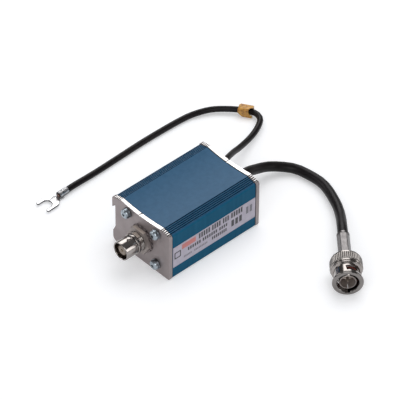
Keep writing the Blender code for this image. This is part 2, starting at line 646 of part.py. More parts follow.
def make_jack(frame, nickel, insulation, gold, zinc):
    """The jack, in a frame whose +Z points out of its mouth and whose origin is on the plate's outer face."""
    mouth = JACK_REACH
    sleeve_end = JACK_SLEEVE_END
    ring_end = JACK_RING_END
    ring_top = ring_end + JACK_RING_LENGTH
    profile = [(JACK_RADIUS - JACK_EDGE, mouth), (JACK_RADIUS, mouth - JACK_EDGE), (JACK_RADIUS, sleeve_end)]
    profile += [(JACK_NECK_RADIUS, sleeve_end), (JACK_NECK_RADIUS, ring_top)]
    profile += [(JACK_RING_RADIUS - JACK_EDGE, ring_top), (JACK_RING_RADIUS, ring_top - JACK_EDGE)]
    profile += [(JACK_RING_RADIUS, ring_end + JACK_EDGE), (JACK_RING_RADIUS - JACK_EDGE, ring_end)]
    thread_root = JACK_THREAD_RADIUS - THREAD_DEPTH
    for turn in range(THREAD_COUNT):
        crest = ring_end - (turn + 0.5) * THREAD_PITCH
        profile += [(thread_root, crest + THREAD_PITCH / 2), (JACK_THREAD_RADIUS, crest)]
    profile += [(thread_root, ring_end - THREAD_COUNT * THREAD_PITCH)]
    profile += [(thread_root, JACK_FLANGE_FACE), (JACK_FLANGE_RADIUS, JACK_FLANGE_FACE)]
    flange_back = JACK_FLANGE_FACE - JACK_FLANGE_THICKNESS
    profile += [(JACK_FLANGE_RADIUS, flange_back), (JACK_TAIL_RADIUS, flange_back)]
    profile += [(JACK_TAIL_RADIUS, JACK_REAR_END), (JACK_STEM_BORE_RADIUS, JACK_REAR_END)]
    seat = mouth - MOUTH_DEPTH - INSULATOR_LENGTH - FIT_GAP
    profile += [(JACK_STEM_BORE_RADIUS, seat), (JACK_BORE_RADIUS, seat)]
    profile += [(JACK_BORE_RADIUS, mouth - JACK_EDGE), (JACK_BORE_RADIUS + JACK_EDGE, mouth)]
    shell = turned("jack_shell", profile, nickel, frame, sides=FINE_SIDE_COUNT)
    wall_middle = (JACK_RADIUS + JACK_BORE_RADIUS) / 2
    for number, side in enumerate((1, -1), start=1):
        angle = math.radians(BAYONET_LUG_ANGLE)
        lug_length = JACK_RADIUS + BAYONET_LUG_STAND - wall_middle
        reach = side * (wall_middle + lug_length / 2)
        pin = [(0, lug_length / 2), (BAYONET_LUG_RADIUS, lug_length / 2)]
        pin += [(BAYONET_LUG_RADIUS, -lug_length / 2), (0, -lug_length / 2)]
        place_of = (reach * math.cos(angle), reach * math.sin(angle), mouth - BAYONET_LUG_SETBACK)
        rotation = (math.pi / 2, 0, angle + math.pi / 2)
        lug = turned(f"bayonet_lug_{number}", pin, None, frame, place_of, rotation, SMALL_SIDE_COUNT)
        combine(shell, lug, "UNION")

    face = mouth - MOUTH_DEPTH
    radius = JACK_BORE_RADIUS - THREAD_GAP
    stem = JACK_STEM_BORE_RADIUS - THREAD_GAP
    bore = CONTACT_RADIUS + THREAD_GAP
    back = face - INSULATOR_LENGTH
    turned("jack_insulator",
           [(radius, face), (radius, back), (stem, back), (stem, JACK_REAR_END),
            (bore, JACK_REAR_END), (bore, face)],
           insulation, frame)
    tip = mouth - CONTACT_SETBACK
    tail_end = JACK_REAR_END - CONTACT_TAIL_LENGTH
    bore_end = tip - CONTACT_BORE_DEPTH
    turned("jack_contact",
           [(0, bore_end), (CONTACT_BORE_RADIUS, bore_end), (CONTACT_BORE_RADIUS, tip), (CONTACT_RADIUS, tip),
            (CONTACT_RADIUS, JACK_REAR_END), (CONTACT_TAIL_RADIUS, JACK_REAR_END),
            (CONTACT_TAIL_RADIUS, tail_end), (0, tail_end)],
           gold, frame, sides=SMALL_SIDE_COUNT)

    washer_middle = STACK_GAP + TOOTH_WASHER_THICKNESS / 2
    teeth = []
    for tooth in range(TOOTH_COUNT):
        for share, radius in ((0.0, 0), (0.45, 0), (0.55, TOOTH_DEPTH), (0.9, TOOTH_DEPTH)):
            angle = math.tau * (tooth + share) / TOOTH_COUNT
            distance = TOOTH_WASHER_RADIUS - radius
            teeth.append((distance * math.cos(angle), distance * math.sin(angle)))
    hole = circle((0, 0), JACK_THREAD_RADIUS + THREAD_GAP, FINE_SIDE_COUNT)
    outline("jack_tooth_washer", [teeth, hole], TOOTH_WASHER_THICKNESS, zinc, frame, (0, 0, washer_middle))

    corner = NUT_FLATS / 2 / math.cos(math.pi / 6)
    hexagon = circle((0, 0), corner, 6)
    nut = as_mesh(outline("jack_nut", [hexagon, hole], NUT_THICKNESS, nickel, frame,
                          (0, 0, NUT_BACK + NUT_THICKNESS / 2)))
    front = NUT_BACK + NUT_THICKNESS
    spread = corner + NUT_CHAMFER
    flat = corner - NUT_CHAMFER
    round_off = turned("nut_chamfer",
                       [(0, front + FIT_GAP), (flat, front + FIT_GAP), (flat, front),
                        (spread, front - NUT_CHAMFER), (spread, NUT_BACK - FIT_GAP), (0, NUT_BACK - FIT_GAP)],
                       None, frame, sides=FINE_SIDE_COUNT)
    combine(nut, round_off, "INTERSECT")


def make_board(green):
    """The board in the housing's guides, with a hole for each lead."""
    left = CAVITY_LEFT + FIT_GAP
    right = CAVITY_RIGHT - FIT_GAP
    rectangle = [(left, BOARD_FRONT), (right, BOARD_FRONT), (right, BOARD_REAR), (left, BOARD_REAR)]
    holes = [circle(place_of, radius + FIT_GAP, LEAD_SIDE_COUNT) for place_of, radius in board_leads()]
    middle = BOARD_BOTTOM + BOARD_THICKNESS / 2
    outline("circuit_board", [rectangle] + holes, BOARD_THICKNESS, green, location=(0, 0, middle))


def gas_tube_middle():
    """Where the gas tube lies, across the board behind the jack."""
    return PATTERN_OFFSET, BOARD_FRONT + GAS_TUBE_SHARE * BOARD_LENGTH


def gas_tube_half_length():
    return GAS_TUBE_CERAMIC_LENGTH / 2 + FIT_GAP + GAS_TUBE_CAP_THICKNESS


def resistor_middle():
    """Where the resistor lies, along Y behind the gas tube."""
    return PATTERN_OFFSET + 4 * RESISTOR_RADIUS, BOARD_FRONT + RESISTOR_SHARE * BOARD_LENGTH


def diode_middle():
    """Where the suppressor diode lies, across the board behind the gas tube."""
    return PATTERN_OFFSET - 4 * DIODE_RADIUS, BOARD_FRONT + DIODE_SHARE * BOARD_LENGTH


def cable_leads():
    """Where the coax conductor, its braid and the earth core enter the board, each with its wire's radius."""
    y = BOARD_REAR - 3 * LEAD_RADIUS - BRAID_TAIL_RADIUS
    return {
        "conductor": ((PATTERN_OFFSET, y), COAX_CONDUCTOR_RADIUS),
        "braid": ((PATTERN_OFFSET + 2 * COAX_RADIUS, y), BRAID_TAIL_RADIUS),
        "earth": ((EARTH_X, y), EARTH_CORE_RADIUS),
    }


def board_leads():
    """Every lead hole in the board, as its (x, y) and the radius of the wire in it."""
    gas_x, gas_y = gas_tube_middle()
    reach = gas_tube_half_length() + GAS_TUBE_LEAD_RUN
    resistor_x, resistor_y = resistor_middle()
    diode_x, diode_y = diode_middle()
    along = RESISTOR_LENGTH / 2 + AXIAL_LEAD_RUN
    across = DIODE_LENGTH / 2 + AXIAL_LEAD_RUN
    leads = [((gas_x + side * reach, gas_y), LEAD_RADIUS) for side in (-1, 1)]
    leads += [((resistor_x, resistor_y + side * along), LEAD_RADIUS) for side in (-1, 1)]
    leads += [((diode_x + side * across, diode_y), LEAD_RADIUS) for side in (-1, 1)]
    return leads + list(cable_leads().values())


def bent_lead(start, end, drop, bend=LEAD_BEND):
    """A lead that runs level from start to above end, and then bends down by drop."""
    start, end = Vector(start), Vector(end)
    way = (end - start).normalized()
    down = Vector((0, 0, -1))
    points = [start]
    for step in range(5):
        angle = math.pi / 2 * step / 4
        points.append(end - way * bend + way * bend * math.sin(angle) + down * bend * (1 - math.cos(angle)))
    points.append(end + down * drop)
    return points


def make_gas_tube(ceramic, tinned):
    x, y = gas_tube_middle()
    height = BOARD_TOP + FIT_GAP + GAS_TUBE_RADIUS
    half = GAS_TUBE_CERAMIC_LENGTH / 2
    wall = GAS_TUBE_RADIUS * 0.35
    bore = GAS_TUBE_RADIUS - wall
    sideways = (0, math.pi / 2, 0)
    turned("gas_tube_ceramic",
           [(GAS_TUBE_RADIUS, half), (GAS_TUBE_RADIUS, -half), (bore, -half), (bore, half)],
           ceramic, None, (x, y, height), sideways)
    level = BOARD_BOTTOM - LEAD_BELOW_BOARD
    for number, side in enumerate((-1, 1), start=1):
        inner = half + FIT_GAP
        outer = inner + GAS_TUBE_CAP_THICKNESS
        stub = bore - FIT_GAP
        cap = turned(f"gas_tube_electrode_{number}",
                     [(0, outer), (GAS_TUBE_RADIUS, outer), (GAS_TUBE_RADIUS, inner), (stub, inner),
                      (stub, half / 3), (0, half / 3)],
                     tinned, None, (x, y, height), (0, side * math.pi / 2, 0))
        start = (x + side * (outer - GAS_TUBE_CAP_THICKNESS / 2), y, height)
        end = (x + side * (outer + GAS_TUBE_LEAD_RUN), y, height)
        wire = tube(f"gas_tube_lead_{number}", bent_lead(start, end, height - level), LEAD_RADIUS, None)
        combine(cap, as_mesh(wire), "UNION")


def make_axial_part(name, profile, middle, along, half_span, radius, material):
    """A resistor or diode: a turned body on a wire that is bent down through the board at both ends."""
    height = BOARD_TOP + FIT_GAP + radius
    level = BOARD_BOTTOM - LEAD_BELOW_BOARD
    way = Vector((0, 1, 0)) if along == "Y" else Vector((1, 0, 0))
    tilt = (math.pi / 2, 0, 0) if along == "Y" else (0, math.pi / 2, 0)
    centre = Vector((*middle, height))
    body = turned(name, profile, material, None, centre, tilt, SMALL_SIDE_COUNT)
    first = bent_lead(centre, centre - way * half_span, height - level)
    second = bent_lead(centre, centre + way * half_span, height - level)
    wire = tube(f"{name}_lead", list(reversed(first[1:])) + second[1:], LEAD_RADIUS, None)
    combine(body, as_mesh(wire), "UNION")


def make_resistor_and_diode(tan, black):
    half = RESISTOR_LENGTH / 2
    cap = RESISTOR_RADIUS
    neck = cap * 0.85
    bulge = cap * 0.8
    profile = [(cap * 0.5, half), (cap, half - cap * 0.3), (cap, half - cap), (neck, half - cap * 1.3)]
    profile += [(neck, -half + cap * 1.3), (cap, -half + cap), (cap, -half + cap * 0.3), (cap * 0.5, -half)]
    profile = [(0, half)] + profile + [(0, -half)]
    make_axial_part("series_resistor", profile, resistor_middle(), "Y", half + AXIAL_LEAD_RUN, cap, tan)
    half = DIODE_LENGTH / 2
    edge = DIODE_RADIUS * 0.15
    profile = [(0, half), (DIODE_RADIUS - edge, half), (DIODE_RADIUS, half - edge)]
    profile += [(DIODE_RADIUS, -half + edge), (DIODE_RADIUS - edge, -half), (0, -half)]
    span = half + AXIAL_LEAD_RUN
    make_axial_part("suppressor_diode", profile, diode_middle(), "X", span, DIODE_RADIUS, black)


def make_cable_ends(copper, cream):
    """The stripped ends of both cables, soldered into the board."""
    level = BOARD_BOTTOM - LEAD_BELOW_BOARD
    face = CABLE_INNER_END - FIT_GAP
    leads = cable_leads()
    (x, y), radius = leads["conductor"]
    height = BOARD_TOP + FIT_GAP + radius
    core = turned("coax_core", [(0, face), (COAX_DIELECTRIC_RADIUS, face),
                                (COAX_DIELECTRIC_RADIUS, DIELECTRIC_END), (0, DIELECTRIC_END)],
                  cream, None, (x, 0, PATTERN_HEIGHT), (-math.pi / 2, 0, 0), SMALL_SIDE_COUNT)
    route = [Vector((x, DIELECTRIC_END + side * FIT_GAP, PATTERN_HEIGHT)) for side in (1, -1)]
    route += bent_lead((x, y + 3 * radius, height), (x, y, height), height - level, radius * 2)[1:]
    combine(core, as_mesh(tube("coax_conductor", route, radius, None)), "UNION")
    (x, y), radius = leads["braid"]
    near = PATTERN_OFFSET + COAX_DIELECTRIC_RADIUS + FIT_GAP + radius
    height = BOARD_TOP + FIT_GAP + radius
    route = [Vector((near, face, PATTERN_HEIGHT)), Vector((near, face - radius, PATTERN_HEIGHT))]
    route += bent_lead((x, y + 3 * radius, height), (x, y, height), height - level, radius * 2)[1:]
    tube("coax_braid_tail", route, radius, copper)
    (x, y), radius = leads["earth"]
    height = BOARD_TOP + FIT_GAP + radius
    route = bent_lead((x, face, height), (x, y, height), height - level, radius * 2)
    tube("earth_core", route, radius, copper)


def make_grommets(rear, black):
    """Rubber rings in the rear plate, one round each cable, in the rear frame."""
    coax = ("coax_grommet", PATTERN_OFFSET, COAX_RADIUS)
    earth = ("earth_grommet", EARTH_X, EARTH_RADIUS)
    for name, x, cable in (coax, earth):
        bore = cable + FIT_GAP
        neck = grommet_neck(cable)
        lip = neck + GROMMET_LIP
        outer = STACK_GAP
        inner = -PLATE_THICKNESS - STACK_GAP
        edge = GROMMET_LIP_THICKNESS * 0.3
        profile = [(neck, outer + GROMMET_LIP_THICKNESS), (lip, outer + edge), (lip, outer), (neck, outer)]
        profile += [(neck, inner), (lip, inner), (lip, inner - edge), (neck, inner - GROMMET_LIP_THICKNESS)]
        profile += [(bore, inner - GROMMET_LIP_THICKNESS), (bore, outer + GROMMET_LIP_THICKNESS)]
        turned(name, profile, black, rear, (-x, PATTERN_HEIGHT, 0), sides=SIDE_COUNT)


def grommet_neck(cable_radius):
    """The radius of a grommet where it sits in its hole."""
    return cable_radius + FIT_GAP + GROMMET_WALL


def catmull_rom(points, parts=24):
    """A smooth curve through the points, as many short steps."""
    knots = [points[0] * 2 - points[1]] + points + [points[-1] * 2 - points[-2]]
    fine = []
    for i in range(1, len(knots) - 2):
        before, start, end, after = knots[i - 1 : i + 3]
        for step in range(parts):
            t = step / parts
            squared = (2 * before - 5 * start + 4 * end - after) * t**2
            cubed = (3 * start - before - 3 * end + after) * t**3
            fine.append(0.5 * (2 * start + (end - before) * t + squared + cubed))
    return fine + [points[-1]]


def along_route(points, spacing):
    """Evenly spaced points on the smooth curve through the route's own points."""
    fine = catmull_rom(points)
    lengths = [0.0]
    for before, after in zip(fine, fine[1:]):
        lengths.append(lengths[-1] + (after - before).length)
    count = max(2, round(lengths[-1] / spacing))
    route = []
    i = 0
    for step in range(count + 1):
        target = lengths[-1] * step / count
        while i < len(fine) - 2 and lengths[i + 1] < target:
            i += 1
        share = (target - lengths[i]) / (lengths[i + 1] - lengths[i])
        route.append(fine[i].lerp(fine[i + 1], share))
    return route


# Hand-chosen points of the two cables, in millimetres: across and back from the middle of the rear plate,
# and the height of the cable's underside
COAX_ROUTE = [
    (-0.9, 11.65, 9.725),
    (-2.2, 17.95, 6.625),
    (-2.4, 24.65, 4.025),
    (-0.9, 29.85, 2.225),
    (3.3, 35.45, 0.825),
    (7.8, 38.15, 0.225),
    (21.5, 39.25, 0.425),
    (35.5, 34.05, 1.025),
    (44.3, 28.45, 2.225),
]
EARTH_ROUTE = [
    (-13.1, 9.45, 11.900),
    (-17.6, 18.55, 8.000),
    (-20, 24.55, 5.500),
    (-23.4, 33.45, 2.900),
    (-26, 40.55, 2.200),
    (-29.1, 46.35, 1.800),
    (-31.2, 49.05, 1.600),
    (-33.8, 50.55, 1.500),
    (-36.2, 50.75, 1.300),
]
EARTH_ROUTE_AFTER_MARKER = [
    (-49.8, 41.35, 1.100),
    (-53.3, 36.75, 1.000),
    (-55.9, 31.35, 0.600),
    (-57.6, 25.15, 0.200),
    (-58.3, 14.05, 0.100),
    (-58.4, -1.35, 0.100),
    (-57.9, -17.05, 0.100),
    (-57.3, -32.75, 0.200),
]


def inside_start(x):
    """A cable's inner end, and the point where it leaves its grommet straight."""
    ys = (CABLE_INNER_END, REAR_FACE, REAR_FACE + CABLE_STRAIGHT_START)
    return [Vector((x, y, PATTERN_HEIGHT)) for y in ys]


def laid(route, radius):
    """A route's points for a cable of this radius."""
    return [Vector((x * MM, REAR_FACE + y * MM, radius + z * MM)) for x, y, z in route]


def on_floor(place_of, height):
    """A point at this height over a place that is given from the middle of the rear plate."""
    return Vector((place_of[0], REAR_FACE + place_of[1], height))


def coax_points():
    """From inside the housing, through its grommet, down to the floor and up to the ferrule."""
    end = plug_point(FERRULE_REAR + FIT_GAP)
    straight = end - plug_heading() * CABLE_STRAIGHT_END
    return inside_start(PATTERN_OFFSET) + laid(COAX_ROUTE, COAX_RADIUS) + [straight, end]


def earth_points():
    """From inside the housing, through its grommet and the marker, to the barrel of the lug."""
    marker = on_floor(MARKER_PLACE, MARKER_AXIS_HEIGHT)
    angle = math.radians(MARKER_TURN)
    reach = Vector((math.cos(angle), math.sin(angle), 0)) * (MARKER_LENGTH / 2)
    angle = math.radians(LUG_TURN)
    heading = Vector((math.cos(angle), math.sin(angle), 0))
    end = on_floor(LUG_PLACE, LUG_AXIS_HEIGHT) - heading * (LUG_BARREL_LENGTH + FIT_GAP)
    before = laid(EARTH_ROUTE, EARTH_RADIUS)
    after = laid(EARTH_ROUTE_AFTER_MARKER, EARTH_RADIUS)
    last = [end - heading * CABLE_STRAIGHT_END, end]
    return inside_start(EARTH_X) + before + [marker - reach, marker + reach] + after + last


def plug_heading():
    angle = math.radians(PLUG_TURN - 90)
    return Vector((math.cos(angle), math.sin(angle), 0))


def plug_point(setback):
    """The point on the plug's axis that lies this far behind its mouth."""
    return on_floor(PLUG_PLACE, PLUG_AXIS_HEIGHT) - plug_heading() * setback


def make_cables(black):
    tube("coax_cable", along_route(coax_points(), 3 * COAX_RADIUS), COAX_RADIUS, black)
    tube("earth_wire", along_route(earth_points(), 2.4 * EARTH_RADIUS), EARTH_RADIUS, black)


def make_plug(frame, nickel, insulation, gold, red):
    """The plug, in a frame at its mouth whose +Z points out of it."""
    shoulder_back = -PLUG_SHOULDER_BACK
    shoulder = shoulder_back + PLUG_SHOULDER_THICKNESS
    shoulder_radius = NUT_BORE_RADIUS - FIT_GAP
    tip = -PLUG_SLEEVE_SETBACK
    neck_end = -FERRULE_FRONT
    post_end = neck_end - CRIMP_POST_LENGTH
    seat = -PLUG_INSULATOR_FACE - PLUG_INSULATOR_DEPTH
    floor = neck_end + CRIMP_POST_FLOOR
    profile = [(PLUG_SLEEVE_RADIUS - JACK_EDGE, tip), (PLUG_SLEEVE_RADIUS, tip - JACK_EDGE)]
    profile += [(PLUG_SLEEVE_RADIUS, shoulder), (shoulder_radius, shoulder), (shoulder_radius, shoulder_back)]
    profile += [(PLUG_NECK_RADIUS, shoulder_back), (PLUG_NECK_RADIUS, neck_end)]
    profile += [(CRIMP_POST_RADIUS, neck_end), (CRIMP_POST_RADIUS, post_end)]
    profile += [(CRIMP_POST_BORE, post_end), (CRIMP_POST_BORE, floor)]
    profile += [(PLUG_NECK_BORE, floor), (PLUG_NECK_BORE, seat), (PLUG_SLEEVE_BORE, seat)]
    profile += [(PLUG_SLEEVE_BORE, tip)]
    body = turned("plug_body", profile, nickel, frame, sides=SIDE_COUNT)
    reach = 2 * shoulder_radius
    for number in (1, 2):
        size = (reach, PLUG_SLIT_WIDTH, 2 * PLUG_SLIT_LENGTH)
        slit = box(f"sleeve_slit_{number}", size, (0, 0, tip), None, frame)
        slit.rotation_euler.z = math.radians(45 + 90 * number)
        combine(body, slit, "DIFFERENCE")

    pin_tip = -PLUG_PIN_SETBACK
    step = -PLUG_INSULATOR_FACE + PLUG_PIN_BASE_SINK
    pin_end = neck_end + PLUG_PIN_END_STEP
    pin = PLUG_PIN_RADIUS
    turned("plug_pin", [(0, pin_tip), (pin * 0.5, pin_tip), (pin, pin_tip - pin), (pin, step),
                        (PLUG_PIN_BASE_RADIUS, step), (PLUG_PIN_BASE_RADIUS, pin_end), (0, pin_end)],
           gold, frame, sides=SMALL_SIDE_COUNT)
    bore = PLUG_PIN_BASE_RADIUS + THREAD_GAP
    wide = PLUG_SLEEVE_BORE - THREAD_GAP
    stem = PLUG_NECK_BORE - THREAD_GAP
    face = -PLUG_INSULATOR_FACE
    turned("plug_insulator", [(wide, face), (wide, seat + FIT_GAP), (stem, seat + FIT_GAP), (stem, pin_end),
                              (bore, pin_end), (bore, face)],
           insulation, frame)
    inner = PLUG_SLEEVE_RADIUS + STACK_GAP
    front = shoulder + FIT_GAP + GASKET_THICKNESS
    turned("plug_gasket", [(shoulder_radius, front), (shoulder_radius, shoulder + FIT_GAP),
                           (inner, shoulder + FIT_GAP), (inner, front)], red, frame)
    inner = PLUG_NECK_RADIUS + STACK_GAP
    top = shoulder_back - FIT_GAP
    low = top - SPRING_DISH
    turned("plug_spring_washer", [(shoulder_radius, low), (shoulder_radius, low - SPRING_THICKNESS),
                                  (inner, top - SPRING_THICKNESS), (inner, top)], nickel, frame)
    collar_top = -NUT_LENGTH - FIT_GAP
    collar_end = collar_top - COLLAR_THICKNESS
    edge = COLLAR_THICKNESS * 0.3
    turned("plug_collar", [(COLLAR_RADIUS - edge, collar_top), (COLLAR_RADIUS, collar_top - edge),
                           (COLLAR_RADIUS, collar_end), (inner, collar_end), (inner, collar_top)],
           nickel, frame)


def make_coupling_nut(frame, nickel):
    """The thrust washer slides on the plug's neck, and the coupling nut turns on it."""
    washer_back = -THRUST_WASHER_BACK
    inner = PLUG_NECK_RADIUS + FIT_GAP
    outer = NUT_BORE_RADIUS - FIT_GAP
    washer_front = washer_back + THRUST_WASHER_THICKNESS
    turned("thrust_washer",
           [(outer, washer_front), (outer, washer_back), (inner, washer_back), (inner, washer_front)],
           nickel, frame)
    knurl_front = -(NUT_LENGTH - KNURL_LENGTH)
    bead = NUT_BEAD_LENGTH
    waist = NUT_WAIST_RADIUS
    ring = NUT_RING_RADIUS
    edge = JACK_EDGE * 1.5
    back = -NUT_LENGTH
    root = KNURL_RADIUS - KNURL_DEPTH
    ring_back = -NUT_RING_LENGTH
    profile = [(ring - edge, 0), (ring, -edge), (ring, ring_back + edge), (ring - edge, ring_back)]
    profile += [(waist, ring_back - edge)]
    for start in (knurl_front + 2 * bead, knurl_front + bead):
        profile.append((waist, start))
        profile += [(NUT_BEAD_RADIUS, start - bead * share) for share in (0.3, 0.7)]
        waist = NUT_BEAD_RADIUS - edge
    profile += [(waist, knurl_front), (root - edge, knurl_front), (root, knurl_front - edge)]
    profile += [(root, back + 2 * edge), (root - 2 * edge, back), (inner, back)]
    rear_wall = back + NUT_REAR_WALL
    profile += [(inner, rear_wall), (NUT_BORE_RADIUS, rear_wall)]
    profile += [(NUT_BORE_RADIUS, -edge), (NUT_BORE_RADIUS + edge, 0)]
    nut = turned("coupling_nut", profile, nickel, frame, sides=FINE_SIDE_COUNT)

    teeth = []
    for tooth in range(KNURL_COUNT):
        for share, radius in ((0.0, root - 2 * WELD), (0.3, KNURL_RADIUS), (0.7, KNURL_RADIUS)):
            angle = math.tau * (tooth + share) / KNURL_COUNT
            teeth.append((radius * math.cos(angle), radius * math.sin(angle)))
    hole = circle((0, 0), (root + NUT_BORE_RADIUS) / 2, FINE_SIDE_COUNT)
    knurl_length = KNURL_LENGTH - 3 * edge
    middle = (knurl_front - edge + back + 2 * edge) / 2
    knurl = as_mesh(outline("knurl_teeth", [teeth, hole], knurl_length, None, frame, (0, 0, middle)))
    combine(nut, knurl, "UNION")

    groove_length = SLOT_START + SLOT_TUBE_RADIUS
    size = (SLOT_GROOVE_WIDTH, 2 * SLOT_GROOVE_RADIUS, 2 * groove_length)
    groove = box("lug_entry", size, (0, 0, 0), None, frame)
    combine(nut, groove, "DIFFERENCE")
    middle_radius = (NUT_BORE_RADIUS + NUT_WAIST_RADIUS) / 2
    for number, start in enumerate((90, 270), start=1):
        ramp = []
        for step in range(9):
            share = step / 8
            angle = math.radians(start - SLOT_SWEEP * share)
            height = -(SLOT_START + (SLOT_END - SLOT_START) * share)
            ramp.append((middle_radius * math.cos(angle), middle_radius * math.sin(angle), height))
        slot = as_mesh(tube(f"bayonet_slot_{number}", ramp, SLOT_TUBE_RADIUS, None, frame))
        combine(nut, slot, "DIFFERENCE")


def make_ferrule(frame, nickel):
    corner = FERRULE_FLATS / 2 / math.cos(math.pi / 6)
    hexagon = circle((0, 0), corner, 6)
    bore = circle((0, 0), CRIMP_POST_RADIUS + FIT_GAP, SIDE_COUNT)
    middle = -(FERRULE_FRONT + FERRULE_REAR) / 2
    outline("crimp_ferrule", [hexagon, bore], FERRULE_LENGTH, nickel, frame, (0, 0, middle))


def make_fork_lug(tinned, copper):
    """The lug lies flat, with +X of its frame from its barrel's front to its tips."""
    frame = frame_at("lug_frame", on_floor(LUG_PLACE, 0), (0, 0, math.radians(LUG_TURN)))
    axis = LUG_AXIS_HEIGHT
    along_x = (0, math.pi / 2, 0)
    barrel = turned("fork_lug", [(LUG_BARREL_RADIUS, 0), (LUG_BARREL_RADIUS, -LUG_BARREL_LENGTH),
                                 (LUG_BARREL_BORE, -LUG_BARREL_LENGTH), (LUG_BARREL_BORE, 0)],
                    tinned, frame, (0, 0, axis), along_x, SMALL_SIDE_COUNT)
    half_neck = LUG_NECK_WIDTH / 2
    half_width = LUG_WIDTH / 2
    slot = LUG_SLOT_WIDTH / 2
    slot_middle = LUG_LENGTH - LUG_SLOT_LENGTH + slot
    tine = half_width - slot
    root = -LUG_BARREL_LENGTH / 2
    upper = [(root, half_neck), (slot_middle - LUG_NECK_REACH * half_width, half_neck)]
    upper += arc((slot_middle, 0), half_width, 140, 90, 5)
    upper += arc((LUG_LENGTH - tine / 2, slot + tine / 2), tine / 2, 90, -90, 4)
    upper += arc((slot_middle, 0), slot, 90, 180, 5)
    flat = upper + [(x, -y) for x, y in reversed(upper[:-1])]
    middle = (0, 0, FLOOR_GAP + LUG_THICKNESS / 2)
    tongue = as_mesh(outline("lug_tongue", [flat], LUG_THICKNESS, None, frame, middle))
    combine(barrel, tongue, "UNION")
    size = (2 * LUG_BARREL_LENGTH, LUG_SEAM_WIDTH, 2 * LUG_BARREL_RADIUS)
    seam = box("barrel_seam", size, (-LUG_BARREL_LENGTH / 2, 0, axis + LUG_BARREL_RADIUS), None, frame)
    combine(barrel, seam, "DIFFERENCE")
    strands = [(0, STRAND_END), (EARTH_CORE_RADIUS, STRAND_END), (EARTH_CORE_RADIUS, -LUG_BARREL_LENGTH),
               (0, -LUG_BARREL_LENGTH)]
    turned("lug_strands", strands, copper, frame, (0, 0, axis), along_x, SMALL_SIDE_COUNT)


def make_marker(amber):
    """A snap-on collar round the earth wire, open along its underside."""
    rotation = (math.pi / 2, 0, math.radians(MARKER_TURN - 90))
    frame = frame_at("marker_frame", on_floor(MARKER_PLACE, MARKER_AXIS_HEIGHT), rotation)
    half_width, half_height = MARKER_WIDTH / 2, MARKER_HEIGHT / 2
    bore = EARTH_RADIUS + FIT_GAP
    slit = MARKER_SLIT / 2
    opening = math.degrees(math.asin(slit / bore))
    cut = half_width * 0.35
    shape = [(slit, -half_height), (half_width - cut, -half_height), (half_width, -half_height + cut)]
    shape += [(half_width, half_height - cut), (half_width - cut, half_height)]
    shape += [(cut - half_width, half_height), (-half_width, half_height - cut)]
    shape += [(-half_width, cut - half_height), (cut - half_width, -half_height)]
    shape += [(-slit, -half_height)] + arc((0, 0), bore, 270 - opening, -90 + opening, 16)
    outline("cable_marker", [shape], MARKER_LENGTH, amber, frame)


def build():
    clear_scene()
    bare = look("bare_aluminium", (0.45, 0.42, 0.40), 0.4, 0.9)
    nickel = look("nickel_plate", (0.62, 0.58, 0.54), 0.2, 1.0)
    zinc = look("zinc_plate", (0.60, 0.66, 0.70), 0.3, 1.0)
    gold = look("gold_plate", (0.83, 0.62, 0.30), 0.3, 1.0)
    tinned = look("tinned_copper", (0.70, 0.68, 0.64), 0.35, 1.0)
    copper = look("bare_copper", (0.72, 0.38, 0.22), 0.4, 1.0)
    cream = look("cream_insulation", (0.80, 0.72, 0.60), 0.5, 0.0)
    black = look("black_jacket", (0.02, 0.02, 0.02), 0.5, 0.0)
    red = look("red_gasket", (0.5, 0.08, 0.05), 0.6, 0.0)
    front = frame_at("front_frame", (0, FRONT_FACE, 0), (math.pi / 2, 0, 0))
    rear = frame_at("rear_frame", (0, REAR_FACE, 0), (math.pi / 2, 0, math.pi))
    jack = frame_at("jack_frame", (PATTERN_OFFSET, FRONT_FACE, PATTERN_HEIGHT), (math.pi / 2, 0, 0))
    plug = frame_at("plug_frame", plug_point(0), (math.pi / 2, 0, math.radians(PLUG_TURN)))
    make_housing()
    make_end_plates(rear, bare)
    make_front_screws(front, zinc)
    make_rear_screws(rear, zinc)
    make_label()
    make_jack(jack, nickel, cream, gold, zinc)
    make_board(look("board_green", (0.05, 0.25, 0.12), 0.5, 0.0))
    make_gas_tube(look("ceramic_white", (0.85, 0.83, 0.80), 0.5, 0.0), tinned)
    tan = look("resistor_tan", (0.75, 0.60, 0.40), 0.5, 0.0)
    make_resistor_and_diode(tan, look("moulded_black", (0.03, 0.03, 0.03), 0.4, 0.0))
    make_cable_ends(copper, cream)
    make_grommets(rear, look("black_rubber", (0.02, 0.02, 0.02), 0.8, 0.0))
    make_cables(black)
    make_plug(plug, nickel, cream, gold, red)
    make_coupling_nut(plug, nickel)
    make_ferrule(plug, nickel)
    make_fork_lug(tinned, copper)
    make_marker(look("amber_marker", (0.60, 0.30, 0.06), 0.5, 0.0))


build()
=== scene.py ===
"""The looks of the coax lightning arrestor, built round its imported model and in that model's own frame.

Named lengths, profiles and outlines are in mm, and angles in degrees. The studio's lengths are in metres.
"""

import math

import bmesh
import bpy
from mathutils import Euler, Matrix, Vector


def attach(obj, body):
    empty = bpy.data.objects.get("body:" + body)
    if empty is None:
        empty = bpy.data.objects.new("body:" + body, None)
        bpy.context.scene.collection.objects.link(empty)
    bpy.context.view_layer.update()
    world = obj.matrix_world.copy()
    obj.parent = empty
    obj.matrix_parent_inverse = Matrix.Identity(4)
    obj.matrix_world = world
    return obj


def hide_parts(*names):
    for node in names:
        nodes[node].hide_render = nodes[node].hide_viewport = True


MM = 0.001
MAIN, NUT = "housing_and_leads", "nut"
HERE = Matrix.Identity(4)

